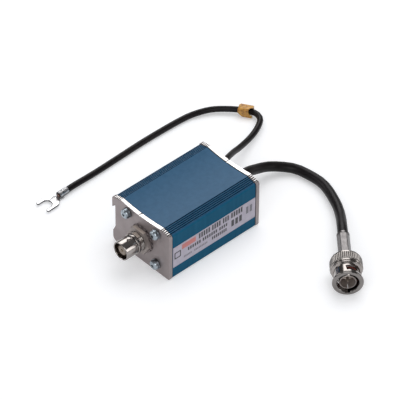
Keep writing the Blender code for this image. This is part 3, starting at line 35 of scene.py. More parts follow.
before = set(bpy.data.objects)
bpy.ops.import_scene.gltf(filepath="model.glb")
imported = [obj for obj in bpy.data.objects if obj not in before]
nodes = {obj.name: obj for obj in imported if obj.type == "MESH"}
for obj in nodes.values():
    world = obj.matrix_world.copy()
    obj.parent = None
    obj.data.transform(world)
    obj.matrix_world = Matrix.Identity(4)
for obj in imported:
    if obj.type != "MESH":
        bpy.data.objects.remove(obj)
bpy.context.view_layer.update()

# Places and sizes that part.py also has
FACE = 28.15  # of each end plate, from the middle
COAX_X, EARTH_X, PORT_HEIGHT = 1.1, -10.25, 14.2
COAX_RADIUS, EARTH_RADIUS = 2.475, 1.5
GROMMET_STAND = 1.6
SCREW_SPREAD, SCREW_RISE = 9.75, 9.2  # from the jack's axis
GAP = 0.3  # between pieces that are pushed together
PLUG_MOUTH, PLUG_TURN = (81.4, 24.8, 7.7), 49.5
FERRULE_FRONT, FERRULE_REAR = 16.3, 32.5  # behind the plug's mouth
LUG_X, LUG_Y, LUG_AXIS, LUG_TURN = -56.6, -28.6, 2.05, -87.4
BARREL_LENGTH = 5.4
MARKER_PLACE, MARKER_TURN, MARKER_LENGTH = (-40.85, 76.8, 2.75), 211.4, 7.0


def moved(x, y, z):
    return Matrix.Translation((x * MM, y * MM, z * MM))


def rotated(angle, axis="Z"):
    return Matrix.Rotation(math.radians(angle), 4, axis)


def standing(x, y, z, turn=0.0):
    """A frame whose +Z points along -Y, turned about the upright."""
    return moved(x, y, z) @ Euler((math.pi / 2, 0, math.radians(turn))).to_matrix().to_4x4()


def heading(turn):
    return Vector((math.cos(math.radians(turn)), math.sin(math.radians(turn)), 0))


def metres(place):
    return Vector(place) * MM


FRONT = standing(0, -FACE, 0)
REAR = standing(0, FACE, 0, 180)
JACK = standing(COAX_X, -FACE, PORT_HEIGHT)
PLUG = standing(*PLUG_MOUTH, PLUG_TURN)
MARKER = standing(*MARKER_PLACE, MARKER_TURN - 90)
LUG = moved(LUG_X, LUG_Y, 0) @ rotated(LUG_TURN)


def add_object(name, data, place=HERE):
    obj = bpy.data.objects.new(name, data)
    bpy.context.scene.collection.objects.link(obj)
    obj.matrix_world = place
    return obj


# Camera: the photograph's own viewpoint, fitted to the housing's edges
CAMERA_AZIMUTH, CAMERA_ELEVATION, CAMERA_ROLL = 46.84, 42.27, 0.44
CAMERA_BACK, CAMERA_RIGHT, CAMERA_UP = 1663.09, 6.46, 14.52
PIXELS_PER_MM, PHOTO_WIDTH = 2.16, 400


def make_camera():
    azimuth, elevation, roll = map(math.radians, (CAMERA_AZIMUTH, CAMERA_ELEVATION, CAMERA_ROLL))
    level = math.cos(elevation)
    back = Vector((math.sin(azimuth) * level, -math.cos(azimuth) * level, math.sin(elevation)))
    right = Vector((math.cos(azimuth), math.sin(azimuth), 0))
    up = back.cross(right)
    place = (back * CAMERA_BACK + right * CAMERA_RIGHT + up * CAMERA_UP) * MM
    across = right * math.cos(roll) + up * math.sin(roll)
    upward = up * math.cos(roll) - right * math.sin(roll)
    data = bpy.data.cameras.new("camera")
    data.lens = PIXELS_PER_MM * CAMERA_BACK / PHOTO_WIDTH * data.sensor_width
    facing = Matrix((across, upward, back)).transposed().to_4x4()
    bpy.context.scene.camera = add_object("camera", data, Matrix.Translation(place) @ facing)


# Node helpers
def add_node(tree, kind, inputs=None, operation=None):
    """A shader node. Each input is given a value, or linked to the socket that it's given."""
    made = tree.nodes.new(kind)
    if operation:
        made.operation = operation
    for socket, value in (inputs or {}).items():
        if isinstance(value, bpy.types.NodeSocket):
            tree.links.new(value, made.inputs[socket])
        else:
            made.inputs[socket].default_value = value
    return made


def noise(tree, where, scale, detail):
    made = add_node(tree, "ShaderNodeTexNoise", {"Vector": where, "Scale": scale, "Detail": detail})
    return made.outputs["Fac"]


def ramp_of(tree, fac, stops):
    made = add_node(tree, "ShaderNodeValToRGB", {0: fac})
    elements = made.color_ramp.elements
    while len(elements) < len(stops):
        elements.new(0.5)
    for element, (position, colour) in zip(elements, stops):
        element.position = position
        element.color = (*colour, 1)
    return made.outputs[0]


def only_for(tree, *kinds):
    """1 for rays of these kinds and 0 for the others."""
    path = add_node(tree, "ShaderNodeLightPath")
    total = path.outputs[kinds[0]]
    for kind in kinds[1:]:
        total = add_node(tree, "ShaderNodeMath", {0: total, 1: path.outputs[kind]}, "MAXIMUM").outputs[0]
    return total


# Studio. In metal the room is dim and dark round the horizon, with light panels
ROOM = [(0.0, (0.14, 0.135, 0.13)), (0.3, (0.08, 0.077, 0.075)), (1.0, (0.22, 0.22, 0.225))]
# Each panel's heading, spread in degrees and strength
PANELS = [
    ((-0.60, 0.50, 0.60), 24, 3.4), ((0.80, 0.50, 0.28), 15, 3.0), ((-0.75, -0.55, 0.45), 20, 2.6),
    ((0.60, -0.55, 0.58), 25, 2.8), ((0.20, -0.95, 0.35), 12, 2.0),
]
SKY_COLOUR, SKY_STRENGTH = (0.95, 0.97, 1.0, 1), 0.55
WHITE = (1, 1, 1, 1)
SEEN_BY = ("Is Camera Ray", "Is Glossy Ray", "Is Transmission Ray")
# Each lamp's name, place, size and power
LAMPS = [("softbox", (-0.10, 0.30, 0.75), 0.75, 3.0), ("fill", (0.35, -0.75, 0.55), 0.6, 1.6)]
LAMPS_AIM = Vector((0.01, 0.02, 0))
FLOOR_REACH, FLOOR_DROP = 4, 0.02 * MM
FLOOR_COLOUR, FLOOR_LIFT = (0.80, 0.80, 0.81, 1), 0.32


def patch(tree, where, towards, spread, strength):
    """A round patch of this strength about a heading, that fades out over the last third of its spread."""
    dot = add_node(tree, "ShaderNodeVectorMath", {0: where, 1: Vector(towards).normalized()}, "DOT_PRODUCT")
    levels = add_node(tree, "ShaderNodeMapRange", {
        "Value": dot.outputs["Value"], "To Max": strength,
        "From Min": math.cos(math.radians(spread)), "From Max": math.cos(math.radians(spread * 2 / 3))})
    levels.interpolation_type = "SMOOTHSTEP"
    return levels.outputs[0]


def make_world():
    world = bpy.data.worlds.new("studio")
    bpy.context.scene.world = world
    world.use_nodes = True
    tree = world.node_tree
    tree.nodes.clear()
    where = add_node(tree, "ShaderNodeTexCoord").outputs["Generated"]
    total = ramp_of(tree, add_node(tree, "ShaderNodeSeparateXYZ", {0: where}).outputs["Z"], ROOM)
    for towards, spread, strength in PANELS:
        light = patch(tree, where, towards, spread, strength)
        total = add_node(tree, "ShaderNodeVectorMath", {0: total, 1: light}, "ADD").outputs[0]
    room = add_node(tree, "ShaderNodeBackground", {"Color": total})
    white = add_node(tree, "ShaderNodeBackground", {"Color": WHITE, "Strength": 1.0})
    sky = add_node(tree, "ShaderNodeBackground", {"Color": SKY_COLOUR, "Strength": SKY_STRENGTH})
    seen = add_node(tree, "ShaderNodeMixShader", {
        0: only_for(tree, "Is Camera Ray", "Is Transmission Ray"), 1: room.outputs[0], 2: white.outputs[0]})
    mix = add_node(tree, "ShaderNodeMixShader", {
        0: only_for(tree, *SEEN_BY), 1: sky.outputs[0], 2: seen.outputs[0]})
    add_node(tree, "ShaderNodeOutputWorld", {0: mix.outputs[0]})


def make_floor():
    mesh = bpy.data.meshes.new("floor")
    corners = [(x * FLOOR_REACH, y * FLOOR_REACH, 0) for x, y in ((-1, -1), (1, -1), (1, 1), (-1, 1))]
    mesh.from_pydata(corners, [], [(0, 1, 2, 3)])
    floor = add_object("floor", mesh)
    floor.location.z = -FLOOR_DROP
    pale = bpy.data.materials.new("floor_pale")
    pale.use_nodes = True
    tree = pale.node_tree
    shader = tree.nodes["Principled BSDF"].inputs
    shader["Base Color"].default_value = FLOOR_COLOUR
    shader["Roughness"].default_value = 0.9
    shader["Specular IOR Level"].default_value = 0.1
    shader["Emission Color"].default_value = WHITE
    lift = add_node(tree, "ShaderNodeMath", {0: only_for(tree, *SEEN_BY), 1: FLOOR_LIFT}, "MULTIPLY")
    tree.links.new(lift.outputs[0], shader["Emission Strength"])
    mesh.materials.append(pale)


def make_lamps():
    for name, place, size, power in LAMPS:
        data = bpy.data.lights.new(name, "AREA")
        data.shape = "SQUARE"
        data.size = size
        data.energy = power
        aim = (LAMPS_AIM - Vector(place)).to_track_quat("-Z", "Y").to_matrix().to_4x4()
        lamp = add_object(name, data, Matrix.Translation(place) @ aim)
        lamp.visible_glossy = False


# Materials
MIX_START, MIX_END = 0.34, 0.66
GRAIN_LOW, GRAIN_HIGH = 0.3, 0.7


def finish(name, colours, rough, metallic, scale, relief=0.0, fine=5000, stretch=(1, 1, 1), **sockets):
    """A surface mixed from two or three close colours by noise.

    A finer noise varies its roughness and gives its relief. The noises' scales are per metre, and stretch
    draws them out along an axis.
    """
    made = bpy.data.materials.new(name)
    made.use_nodes = True
    tree = made.node_tree
    shader = tree.nodes["Principled BSDF"].inputs
    shader["Metallic"].default_value = metallic
    for socket, value in sockets.items():
        shader[socket.replace("_", " ")].default_value = value
    where = add_node(tree, "ShaderNodeTexCoord").outputs["Object"]
    spread = add_node(tree, "ShaderNodeMapping", {"Vector": where, "Scale": stretch}).outputs[0]
    broad, grain = noise(tree, spread, scale, 4), noise(tree, spread, fine, 2)
    step = (MIX_END - MIX_START) / (len(colours) - 1)
    stops = [(MIX_START + i * step, colour) for i, colour in enumerate(colours)]
    tree.links.new(ramp_of(tree, broad, stops), shader["Base Color"])
    levels = add_node(tree, "ShaderNodeMapRange", {
        "Value": grain, "From Min": GRAIN_LOW, "From Max": GRAIN_HIGH,
        "To Min": rough[0], "To Max": rough[1]})
    tree.links.new(levels.outputs[0], shader["Roughness"])
    if relief:
        bump = add_node(tree, "ShaderNodeBump", {"Strength": 1.0, "Distance": relief * MM, "Height": grain})
        tree.links.new(bump.outputs[0], shader["Normal"])
    return made


LENGTHWISE = (1, 0.03, 1)
BLUE = finish("blue_anodised", [(0.011, 0.070, 0.147), (0.016, 0.082, 0.166)], (0.36, 0.46), 0.0, 500,
              0.0012, 6000, LENGTHWISE, Specular_IOR_Level=0.22)
# Painted light: the flat sides get their own bluer colour and almost no sheen, for how light falls on them
BLUE_SIDE_LIGHTING = finish("blue_side_painted_light", [(0.009, 0.096, 0.178), (0.013, 0.110, 0.200)], (0.40, 0.50), 0.0, 500,
                   0.001, 6000, LENGTHWISE, Specular_IOR_Level=0.04)
# Painted shade: a much darker blue for the faces deep in the shoulders' grooves
BLUE_GROOVE_SHADE = finish("blue_groove_shade", [(0.002, 0.014, 0.034), (0.003, 0.018, 0.042)], (0.45, 0.55), 0.0, 500,
                     stretch=LENGTHWISE, Specular_IOR_Level=0.1)
BARE = finish("bare_aluminium", [(0.292, 0.254, 0.254), (0.332, 0.292, 0.292)], (0.44, 0.54), 0.85, 160,
              0.001, 7000)
# Painted highlight: a near-white metal on the plates' upward-facing top edges only
PLATE_TOP_HIGHLIGHT = finish("plate_top_highlight", [(0.74, 0.71, 0.70), (0.92, 0.89, 0.88)], (0.30, 0.42), 0.7, 1200,
             0.002, stretch=(1, 0.3, 1))
# Painted shade: a dark metal on the groove walls in the plates' shoulders
PLATE_GROOVE_SHADE = finish("plate_groove_shade", [(0.10, 0.085, 0.08), (0.15, 0.13, 0.125)], (0.5, 0.6), 0.6, 1200)
NICKEL = finish("nickel_plate", [(0.29, 0.265, 0.25), (0.335, 0.31, 0.295)], (0.10, 0.18), 1.0, 220,
                0.0006, 4000)
DULL = finish("dull_nickel", [(0.29, 0.25, 0.232), (0.35, 0.305, 0.285)], (0.36, 0.46), 0.5, 500, 0.001)
KNURLED = finish("nickel_knurl", [(0.22, 0.205, 0.195), (0.28, 0.262, 0.25)], (0.22, 0.34), 1.0, 1500, 0.002)
CRIMPED = finish("crimped_nickel", [(0.115, 0.108, 0.108), (0.17, 0.16, 0.16)], (0.24, 0.36), 1.0, 1100,
                 0.003, 4000, (1, 1, 0.4))
ZINC = finish("zinc_plate", [(0.30, 0.35, 0.39), (0.38, 0.43, 0.47)], (0.26, 0.36), 1.0, 500, 0.0006)
# Painted shade: a dark, dull metal for the screws' cross recesses and the lug's crimp dents
RECESS_SHADE = finish("recess", [(0.035, 0.042, 0.05), (0.06, 0.068, 0.075)], (0.45, 0.55), 0.7, 1200)
GOLD = finish("gold_plate", [(0.42, 0.33, 0.22), (0.52, 0.42, 0.29)], (0.26, 0.36), 0.75, 500, 0.0005)
TIN = finish("tinned_copper", [(0.58, 0.575, 0.585), (0.72, 0.715, 0.725)], (0.24, 0.38), 0.9, 700,
             0.003, 4000)
# Painted shade: a dark tin for the tongue's edges and the barrel's lower side
TIN_SHADE = finish("tin_painted_shade", [(0.13, 0.13, 0.135), (0.19, 0.19, 0.195)], (0.35, 0.5), 0.9, 900,
                  0.002, 4000)
COPPER = finish("bare_copper", [(0.16, 0.085, 0.065), (0.30, 0.165, 0.125)], (0.34, 0.46), 1.0, 1800,
                0.002, 6000)
CREAM = finish("cream_insulation", [(0.25, 0.20, 0.16), (0.32, 0.26, 0.21)], (0.40, 0.52), 0.0, 500, 0.002)
# Painted shade: a darker nickel for the coupling nut's front ring
RING_SHADE = finish("ring_painted_shade", [(0.19, 0.178, 0.17), (0.23, 0.215, 0.207)], (0.10, 0.18), 1.0, 220,
                     0.0006, 4000)
# Painted reflection: a beige, duller metal on the jack's and nut's upward flats, for what they reflect
FLAT_REFLECTION = finish("flat_painted_reflection", [(0.40, 0.335, 0.29), (0.47, 0.40, 0.35)], (0.40, 0.52), 0.3, 500, 0.001)
PIN = finish("dull_pin", [(0.15, 0.12, 0.10), (0.20, 0.165, 0.135)], (0.42, 0.52), 0.4, 500, 0.0005)
STRAND_ENDS = finish("strand_ends", [(0.20, 0.125, 0.105), (0.30, 0.20, 0.175)], (0.45, 0.55), 0.3, 2600)
# Painted light: the plug's insulator is far lighter than the jack's, to lift the shade inside the plug
INSULATION_LIT = finish("insulation_painted_light", [(0.66, 0.57, 0.50), (0.76, 0.67, 0.60)], (0.40, 0.52), 0.0, 500, 0.002)
JACKET = finish("black_jacket", [(0.006, 0.005, 0.0055), (0.010, 0.008, 0.009)], (0.34, 0.46), 0.0, 350,
                0.006, 2600, Specular_IOR_Level=0.16)
RUBBER = finish("black_rubber", [(0.012, 0.012, 0.013), (0.024, 0.024, 0.025)], (0.62, 0.78), 0.0, 900,
                0.006, 4000)
RED = finish("red_gasket", [(0.13, 0.022, 0.014), (0.18, 0.032, 0.02)], (0.55, 0.68), 0.0, 900, 0.003, 4000)
BOARD = finish("board_green", [(0.010, 0.085, 0.032), (0.014, 0.11, 0.045)], (0.28, 0.38), 0.0, 400,
               0.001, 4000)
CERAMIC = finish("ceramic_white", [(0.74, 0.72, 0.68), (0.82, 0.80, 0.77)], (0.20, 0.30), 0.0, 600,
                 0.001, 4000)
TAN = finish("resistor_tan", [(0.55, 0.37, 0.18), (0.62, 0.44, 0.23)], (0.32, 0.42), 0.0, 700, 0.002, 4000)
MOULDED = finish("moulded_black", [(0.014, 0.014, 0.014), (0.024, 0.024, 0.024)], (0.40, 0.52), 0.0, 700,
                 0.004)
AMBER = finish("amber_marker", [(0.26, 0.11, 0.03), (0.50, 0.245, 0.04), (0.60, 0.32, 0.055)], (0.34, 0.48),
               0.0, 750, 0.003, 4500, Subsurface_Weight=0.1, Subsurface_Scale=0.001)
FILM = finish("label_silver", [(0.47, 0.435, 0.51), (0.53, 0.495, 0.57)], (0.38, 0.48), 0.1, 400,
              0.0006, 8000, Specular_IOR_Level=0.3)
INK = finish("label_ink", [(0.030, 0.028, 0.034), (0.050, 0.047, 0.055)], (0.40, 0.50), 0.0, 2000)
PALE_INK = finish("label_pale_ink", [(0.16, 0.155, 0.18), (0.21, 0.20, 0.235)], (0.40, 0.50), 0.0, 2000)
RED_INK = finish("label_red_ink", [(0.56, 0.17, 0.16), (0.64, 0.23, 0.21)], (0.40, 0.50), 0.0, 2000)

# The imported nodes' own looks
for nodes_of, look in (
    (("housing_extrusion",), BLUE),
    (("front_plate", "rear_plate"), BARE),
    (("side_label",), FILM),
    (("jack_shell", "plug_body", "plug_spring_washer", "plug_collar", "thrust_washer", "coupling_nut"),
     NICKEL),
    (("jack_nut", "jack_tooth_washer"), DULL),
    (("crimp_ferrule",), CRIMPED),
    (tuple(f"{kind}_{i}" for kind in ("front_screw", "front_lock_washer", "rear_screw") for i in range(1, 5)),
     ZINC),
    (("jack_insulator", "coax_core"), CREAM),
    (("plug_insulator",), INSULATION_LIT),
    (("jack_contact", "plug_pin"), GOLD),
    (("circuit_board",), BOARD),
    (("gas_tube_ceramic",), CERAMIC),
    (("gas_tube_electrode_1", "gas_tube_electrode_2", "fork_lug"), TIN),
    (("series_resistor",), TAN),
    (("suppressor_diode",), MOULDED),
    (("coax_braid_tail", "earth_core", "lug_strands"), COPPER),
    (("coax_grommet", "earth_grommet"), RUBBER),
    (("coax_cable", "earth_wire"), JACKET),
    (("plug_gasket",), RED),
    (("cable_marker",), AMBER),
):
    for node in nodes_of:
        data = nodes[node].data
        data.materials.clear()
        data.materials.append(look)
        for face in data.polygons:
            face.material_index = 0


# Shapes
WELD, SLIVER = 0.0005, 0.0001
LEAST_TURN, CUT_SHARE, CORNER_BULGE = 18.0, 0.42, 0.42


def eased(points, radius, closed=True):
    """The outline with each corner that turns by more than the least angle rounded off."""
    made = []
    last = len(points) - 1
    for i, point in enumerate(points):
        here = Vector(point)
        before, after = Vector(points[i - 1]) - here, Vector(points[(i + 1) % len(points)]) - here
        kept = not closed and i in (0, last) or min(before.length, after.length) < 1e-9
        if kept or 180 - math.degrees(before.angle(after)) < LEAST_TURN:
            made.append(tuple(here))
            continue
        cut = min(radius, CUT_SHARE * before.length, CUT_SHARE * after.length)
        start, end = here + before.normalized() * cut, here + after.normalized() * cut
        middle = start.lerp(end, 0.5).lerp(here, CORNER_BULGE)
        made += [tuple(start), tuple(middle), tuple(end)]
    return made


def arc(centre, radius, start, end, steps):
    angles = [math.radians(start + (end - start) * i / steps) for i in range(steps + 1)]
    return [(centre[0] + radius * math.cos(a), centre[1] + radius * math.sin(a)) for a in angles]


def circle(centre, radius, sides=48):
    return arc(centre, radius, 0, 360, sides)[:-1]


def cleaned(mesh, slivers=False):
    """The mesh, welded and with its normals outwards."""
    work = bmesh.new()
    work.from_mesh(mesh)
    bmesh.ops.remove_doubles(work, verts=work.verts, dist=WELD * MM)
    if slivers:
        bmesh.ops.dissolve_degenerate(work, edges=work.edges, dist=SLIVER * MM)
    bmesh.ops.recalc_face_normals(work, faces=work.faces)
    work.to_mesh(mesh)
    work.free()
    return mesh


def piece(name, mesh, look, place, stands_for="", body=MAIN, sharp=50):
    """Adds a piece that rides on a body, has these materials and stands for a node, whose part it hides."""
    cleaned(mesh)
    mesh.name = name
    mesh.shade_smooth()
    mesh.set_sharp_from_angle(angle=math.radians(sharp))
    mesh.materials.clear()
    for one in look if isinstance(look, list) else [look]:
        mesh.materials.append(one)
    obj = add_object(name, mesh, place)
    normals = obj.modifiers.new("weighted", "WEIGHTED_NORMAL")
    normals.keep_sharp = True
    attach(obj, body)
    if stands_for:
        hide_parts(stands_for)
    return obj


def paint(obj, choose):
    """Gives each face the material whose number choose(middle in mm, normal) returns."""
    for face in obj.data.polygons:
        face.material_index = int(choose(face.center / MM, face.normal))


def lathe(profile, sides=64, ease=0.0, shape=None):
    """A profile of (radius, height) turned about Z. shape(radius, height, angle) gives a changed radius."""
    hollow = min(radius for radius, _ in profile) > 0
    if ease:
        profile = eased(profile, ease, hollow)
    verts, faces = [], []
    rows = len(profile)
    for j in range(sides):
        angle = math.tau * j / sides
        for radius, height in profile:
            if shape:
                radius = shape(radius, height, angle)
            verts.append((radius * MM * math.cos(angle), radius * MM * math.sin(angle), height * MM))
        near, far = j * rows, (j + 1) % sides * rows
        for i in range(rows if hollow else rows - 1):
            k = (i + 1) % rows
            faces.append((near + i, near + k, far + k, far + i))
    mesh = bpy.data.meshes.new("turned")
    mesh.from_pydata(verts, [], faces)
    return cleaned(mesh, slivers=True)


def add_line(curve, points, closed=False):
    """Adds a line through points in metres."""
    spline = curve.splines.new("POLY")
    spline.points.add(len(points) - 1)
    for point, place in zip(spline.points, points):
        point.co = (*place, 1)
    spline.use_cyclic_u = closed


def tube(name, points, radius, resolution):
    """A round curve with closed ends through points in metres."""
    curve = bpy.data.curves.new(name, "CURVE")
    curve.dimensions = "3D"
    curve.bevel_depth = radius * MM
    curve.bevel_resolution = resolution
    curve.use_fill_caps = True
    add_line(curve, points)
    return curve


def slab(loops, thickness, ease):
    """Flat outlines with holes, in local XY and centred on local Z, with rounded rims."""
    curve = bpy.data.curves.new("slab", "CURVE")
    curve.dimensions = "2D"
    curve.fill_mode = "BOTH"
    curve.bevel_depth = ease * MM
    curve.bevel_resolution = 1
    curve.offset = -ease * MM
    curve.extrude = (thickness / 2 - ease) * MM
    for loop in loops:
        add_line(curve, [(x * MM, y * MM, 0) for x, y in loop], closed=True)
    return mesh_of(curve)


def mesh_of(data, steps=()):
    """The mesh that a curve, or a mesh with Boolean steps, makes."""
    helper = add_object("helper", data)
    tools = []
    for operation, mesh, place in steps:
        tools.append(add_object("tool", mesh, place))
        step = helper.modifiers.new("step", "BOOLEAN")
        step.operation = operation
        step.solver = "EXACT"
        step.object = tools[-1]
    bpy.context.view_layer.update()
    made = bpy.data.meshes.new_from_object(helper.evaluated_get(bpy.context.evaluated_depsgraph_get()))
    for obj in [helper, *tools]:
        bpy.data.objects.remove(obj, do_unlink=True)
    return made


def minus(mesh, place=HERE):
    return "DIFFERENCE", mesh, place


def plus(mesh, place):
    return "UNION", mesh, place


def common(mesh):
    return "INTERSECT", mesh, HERE


def block(size, centre=(0, 0, 0)):
    mesh = bpy.data.meshes.new("block")
    work = bmesh.new()
    bmesh.ops.create_cube(work, size=1.0)
    bmesh.ops.scale(work, vec=metres(size), verts=work.verts)
    bmesh.ops.translate(work, vec=metres(centre), verts=work.verts)
    work.to_mesh(mesh)
    work.free()
    return mesh


# Cables: the routes' points are those of part.py
COAX_ROUTE = [
    (-0.9, 39.8, 12.2), (-2.2, 46.1, 9.1), (-2.4, 52.8, 6.5), (-0.9, 58.0, 4.7), (3.3, 63.6, 3.3),
    (7.8, 66.3, 2.7), (21.5, 67.4, 2.9), (35.5, 62.2, 3.5), (44.3, 56.6, 4.7),
]
EARTH_ROUTE = [
    (-13.1, 37.6, 13.4), (-17.6, 46.7, 9.5), (-20.0, 52.7, 7.0), (-23.4, 61.6, 4.4), (-26.0, 68.7, 3.7),
    (-29.1, 74.5, 3.3), (-31.2, 77.2, 3.1), (-33.8, 78.7, 3.0), (-36.2, 78.9, 2.8),
]
EARTH_ROUTE_AFTER_MARKER = [
    (-49.8, 69.5, 2.6), (-53.3, 64.9, 2.5), (-55.9, 59.5, 2.1), (-57.6, 53.3, 1.7), (-58.3, 42.2, 1.6),
    (-58.4, 26.8, 1.6), (-57.9, 11.1, 1.6), (-57.3, -4.6, 1.7),
]
EXIT_YS = (20.5, 28.15, 31.0)  # of the straight start through the rear plate
STRAIGHT_END = 4.5
ROUTE_STEP = 1.6  # cable radii


def catmull_rom(points, parts=24):
    knots = [points[0] * 2 - points[1]] + points + [points[-1] * 2 - points[-2]]
    fine = []
    for i in range(1, len(knots) - 2):
        before, start, end, after = knots[i - 1 : i + 3]
        for step in range(parts):
            t = step / parts
            square = (2 * before - 5 * start + 4 * end - after) * t**2
            cube = (3 * start - before - 3 * end + after) * t**3
            fine.append(0.5 * (2 * start + (end - before) * t + square + cube))
    return fine + [points[-1]]


def along_route(points, spacing):
    """Evenly spaced points on the smooth curve through the route's own points, and its length."""
    fine = catmull_rom(points)
    lengths = [0.0]
    for before, after in zip(fine, fine[1:]):
        lengths.append(lengths[-1] + (after - before).length)
    count = round(lengths[-1] / spacing)
    route = []
    i = 0
    for step in range(count + 1):
        target = lengths[-1] * step / count
        while i < len(fine) - 2 and lengths[i + 1] < target:
            i += 1
        route.append(fine[i].lerp(fine[i + 1], (target - lengths[i]) / (lengths[i + 1] - lengths[i])))
    return route, lengths[-1]


def straight_end(end, way):
    """The last two points of a route that ends along a heading."""
    return [end - way * STRAIGHT_END * MM, end]


def make_cords():
    """Both leads, each with its length and with its port's x and its radius."""
    way = heading(PLUG_TURN - 90)
    coax = [metres((COAX_X, y, PORT_HEIGHT)) for y in EXIT_YS] + [metres(point) for point in COAX_ROUTE]
    coax += straight_end(metres(PLUG_MOUTH) - way * (FERRULE_REAR + GAP) * MM, way)
    marker, reach = metres(MARKER_PLACE), heading(MARKER_TURN) * (MARKER_LENGTH / 2) * MM
    earth = [metres((EARTH_X, y, PORT_HEIGHT)) for y in EXIT_YS] + [metres(point) for point in EARTH_ROUTE]
    earth += [marker - reach, marker + reach] + [metres(point) for point in EARTH_ROUTE_AFTER_MARKER]
    way = heading(LUG_TURN)
    earth += straight_end(metres((LUG_X, LUG_Y, LUG_AXIS)) - way * (BARREL_LENGTH + GAP) * MM, way)
    made = []
    for name, x, points, radius, stands_for in (
        ("coax_lead", COAX_X, coax, COAX_RADIUS, "coax_cable"),
        ("earth_lead", EARTH_X, earth, EARTH_RADIUS, "earth_wire"),
    ):
        route, length = along_route(points, ROUTE_STEP * radius * MM)
        obj = add_object(name, tube(name, route, radius, 6))
        obj.data.materials.append(JACKET)
        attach(obj, MAIN)
        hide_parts(stands_for)
        made.append((obj, length, x, radius))
    return made


make_camera()
make_world()
make_floor()
make_lamps()
bpy.context.scene.view_settings.view_transform = "Standard"
cords = make_cords()

# Housing. The plates' outline is that of the housing, with an overhang
HALF_WIDTH, CREST, CREST_X = 19.15, 27.55, 13.6
SHOULDER_DROP, SIDE_DROP, SHOULDER_STEP = 1.05, 2.6, 1.0
EXTRUSION_LENGTH, PLATE_THICKNESS, PLATE_OVERHANG = 51.7, 2.0, 0.25
PLATE_MIDDLE = FACE - PLATE_THICKNESS / 2
SCREWS = [
    (COAX_X + side * SCREW_SPREAD, PORT_HEIGHT + level * SCREW_RISE) for level in (-1, 1) for side in (-1, 1)
]
# A groove's section: share of its width, share of its depth
GROOVE = ((0, 0), (0.12, 0.55), (0.3, 0.9), (0.5, 1.0), (0.7, 0.9), (0.88, 0.55), (1, 0))
GROOVE_MARGIN, GROOVE_COUNT = 0.12, 5


def scored(start, end, width, depth):
    """Points from start to end with small round grooves cut on the left of the way there."""
    start, end = Vector(start), Vector(end)
    way = (end - start).normalized()
    inward = Vector((-way.y, way.x))
    pitch = ((end - start).length - 2 * GROOVE_MARGIN - width) / (GROOVE_COUNT - 1)
    points = [start]
    for i in range(GROOVE_COUNT):
        near = start + way * (GROOVE_MARGIN + i * pitch)
        points += [near + way * width * share + inward * depth * sink for share, sink in GROOVE]
    return [tuple(point) for point in points]


def housing_outline(overhang, groove_width, groove_depth, nick_depth=0.0):
    """The housing's section, anticlockwise from the bottom left."""
    left, right = -HALF_WIDTH - overhang, HALF_WIDTH + overhang
    crest = CREST + overhang
    shoulder, side_top = crest - SHOULDER_DROP, crest - SIDE_DROP
    lip, notch = left + 0.45, left + 2.1
    sag = 1.0
    sag_radius = (CREST_X**2 + sag**2) / (2 * sag)
    sag_angle = math.degrees(math.asin(CREST_X / sag_radius))
    dish = arc((0, crest - sag + sag_radius), sag_radius, 270 + sag_angle, 270 - sag_angle, 24)
    points = arc((lip + 2.2, 2.2), 2.2, 180, 270, 8) + arc((right - 1.0, 1.0), 1.0, 270, 360, 8)
    bend = (side_top + shoulder) / 2 + 0.35
    points += [(right, side_top), (right - 0.12, side_top + 0.55), (right - 0.4, bend)]
    shoulder_right, shoulder_left = (right - SHOULDER_STEP, shoulder), (left + SHOULDER_STEP, shoulder)
    points += scored(shoulder_right, dish[0], groove_width, groove_depth)
    half = len(dish) // 2
    points += dish[:half]
    if nick_depth:
        nick, level = -0.9, dish[half][1]
        low = level - nick_depth
        points += [(nick + 0.4, level), (nick + 0.4, low), (nick - 0.4, low), (nick - 0.4, level)]
        points += [point for point in dish[half + 1 : -1] if point[0] < nick - 0.5]
    else:
        points += dish[half:-1]
    points += scored(dish[-1], shoulder_left, groove_width, groove_depth)
    points += [shoulder_left, (left + 0.4, bend), (left + 0.12, side_top + 0.55)]
    points += [(left, side_top), (left, 20.0), (notch, 21.9), (notch, 9.3), (lip, 5.8)]
    return eased(points, 0.22)


def in_groove(x, height, overhang, skin):
    """Whether a face lies deeper than skin in the grooved shoulders."""
    outer, level = HALF_WIDTH + overhang - SHOULDER_STEP, CREST + overhang - SHOULDER_DROP
    slope = level + (outer - abs(x)) / (outer - CREST_X) * SHOULDER_DROP
    return CREST_X < abs(x) < outer and slope - 0.5 < height < slope - skin


def shell_look(middle, normal):
    # Faces deep in the grooves get the darker blue of painted shade
    if in_groove(middle.x, middle.y, 0, 0.07):
        return 1
    # The flat sides get the blue of painted side lighting
    return 2 if abs(normal.x) > 0.8 else 0


def plate_look(middle, normal):
    # Groove walls in the plates' shoulders get painted shade
    if in_groove(middle.x, middle.y, PLATE_OVERHANG, 0.05) and abs(normal.z) < 0.5:
        return 2
    # Upward faces at the plates' top get the painted highlight
    return normal.y > 0.85 and middle.y > 20


def guide_steps(wall, inward):
    """The two ribs on a wall that hold the board's edge."""
    edge = wall + inward * 1.2
    points = []
    for low, high in ((10.4, 11.4), (13.6, 14.6)):
        points += [(wall, low), (edge, low), (edge, high), (wall, high)]
    return points


def cavity_outline():
    left, right, bottom, top, radius = -15.25, 17.35, 1.8, 24.75, 3.0
    near, far = COAX_X - SCREW_SPREAD, COAX_X + SCREW_SPREAD
    low, high = PORT_HEIGHT - SCREW_RISE, PORT_HEIGHT + SCREW_RISE
    points = [(left, bottom)]
    for x in (near, far):
        points += [(x - radius, bottom)] + arc((x, low), radius, 180, 0, 12) + [(x + radius, bottom)]
    points += [(right, bottom)] + guide_steps(right, -1) + [(right, top)]
    for x in (far, near):
        points += [(x + radius, top)] + arc((x, high), radius, 0, -180, 12) + [(x - radius, top)]
    return points + [(left, top)] + list(reversed(guide_steps(left, 1)))


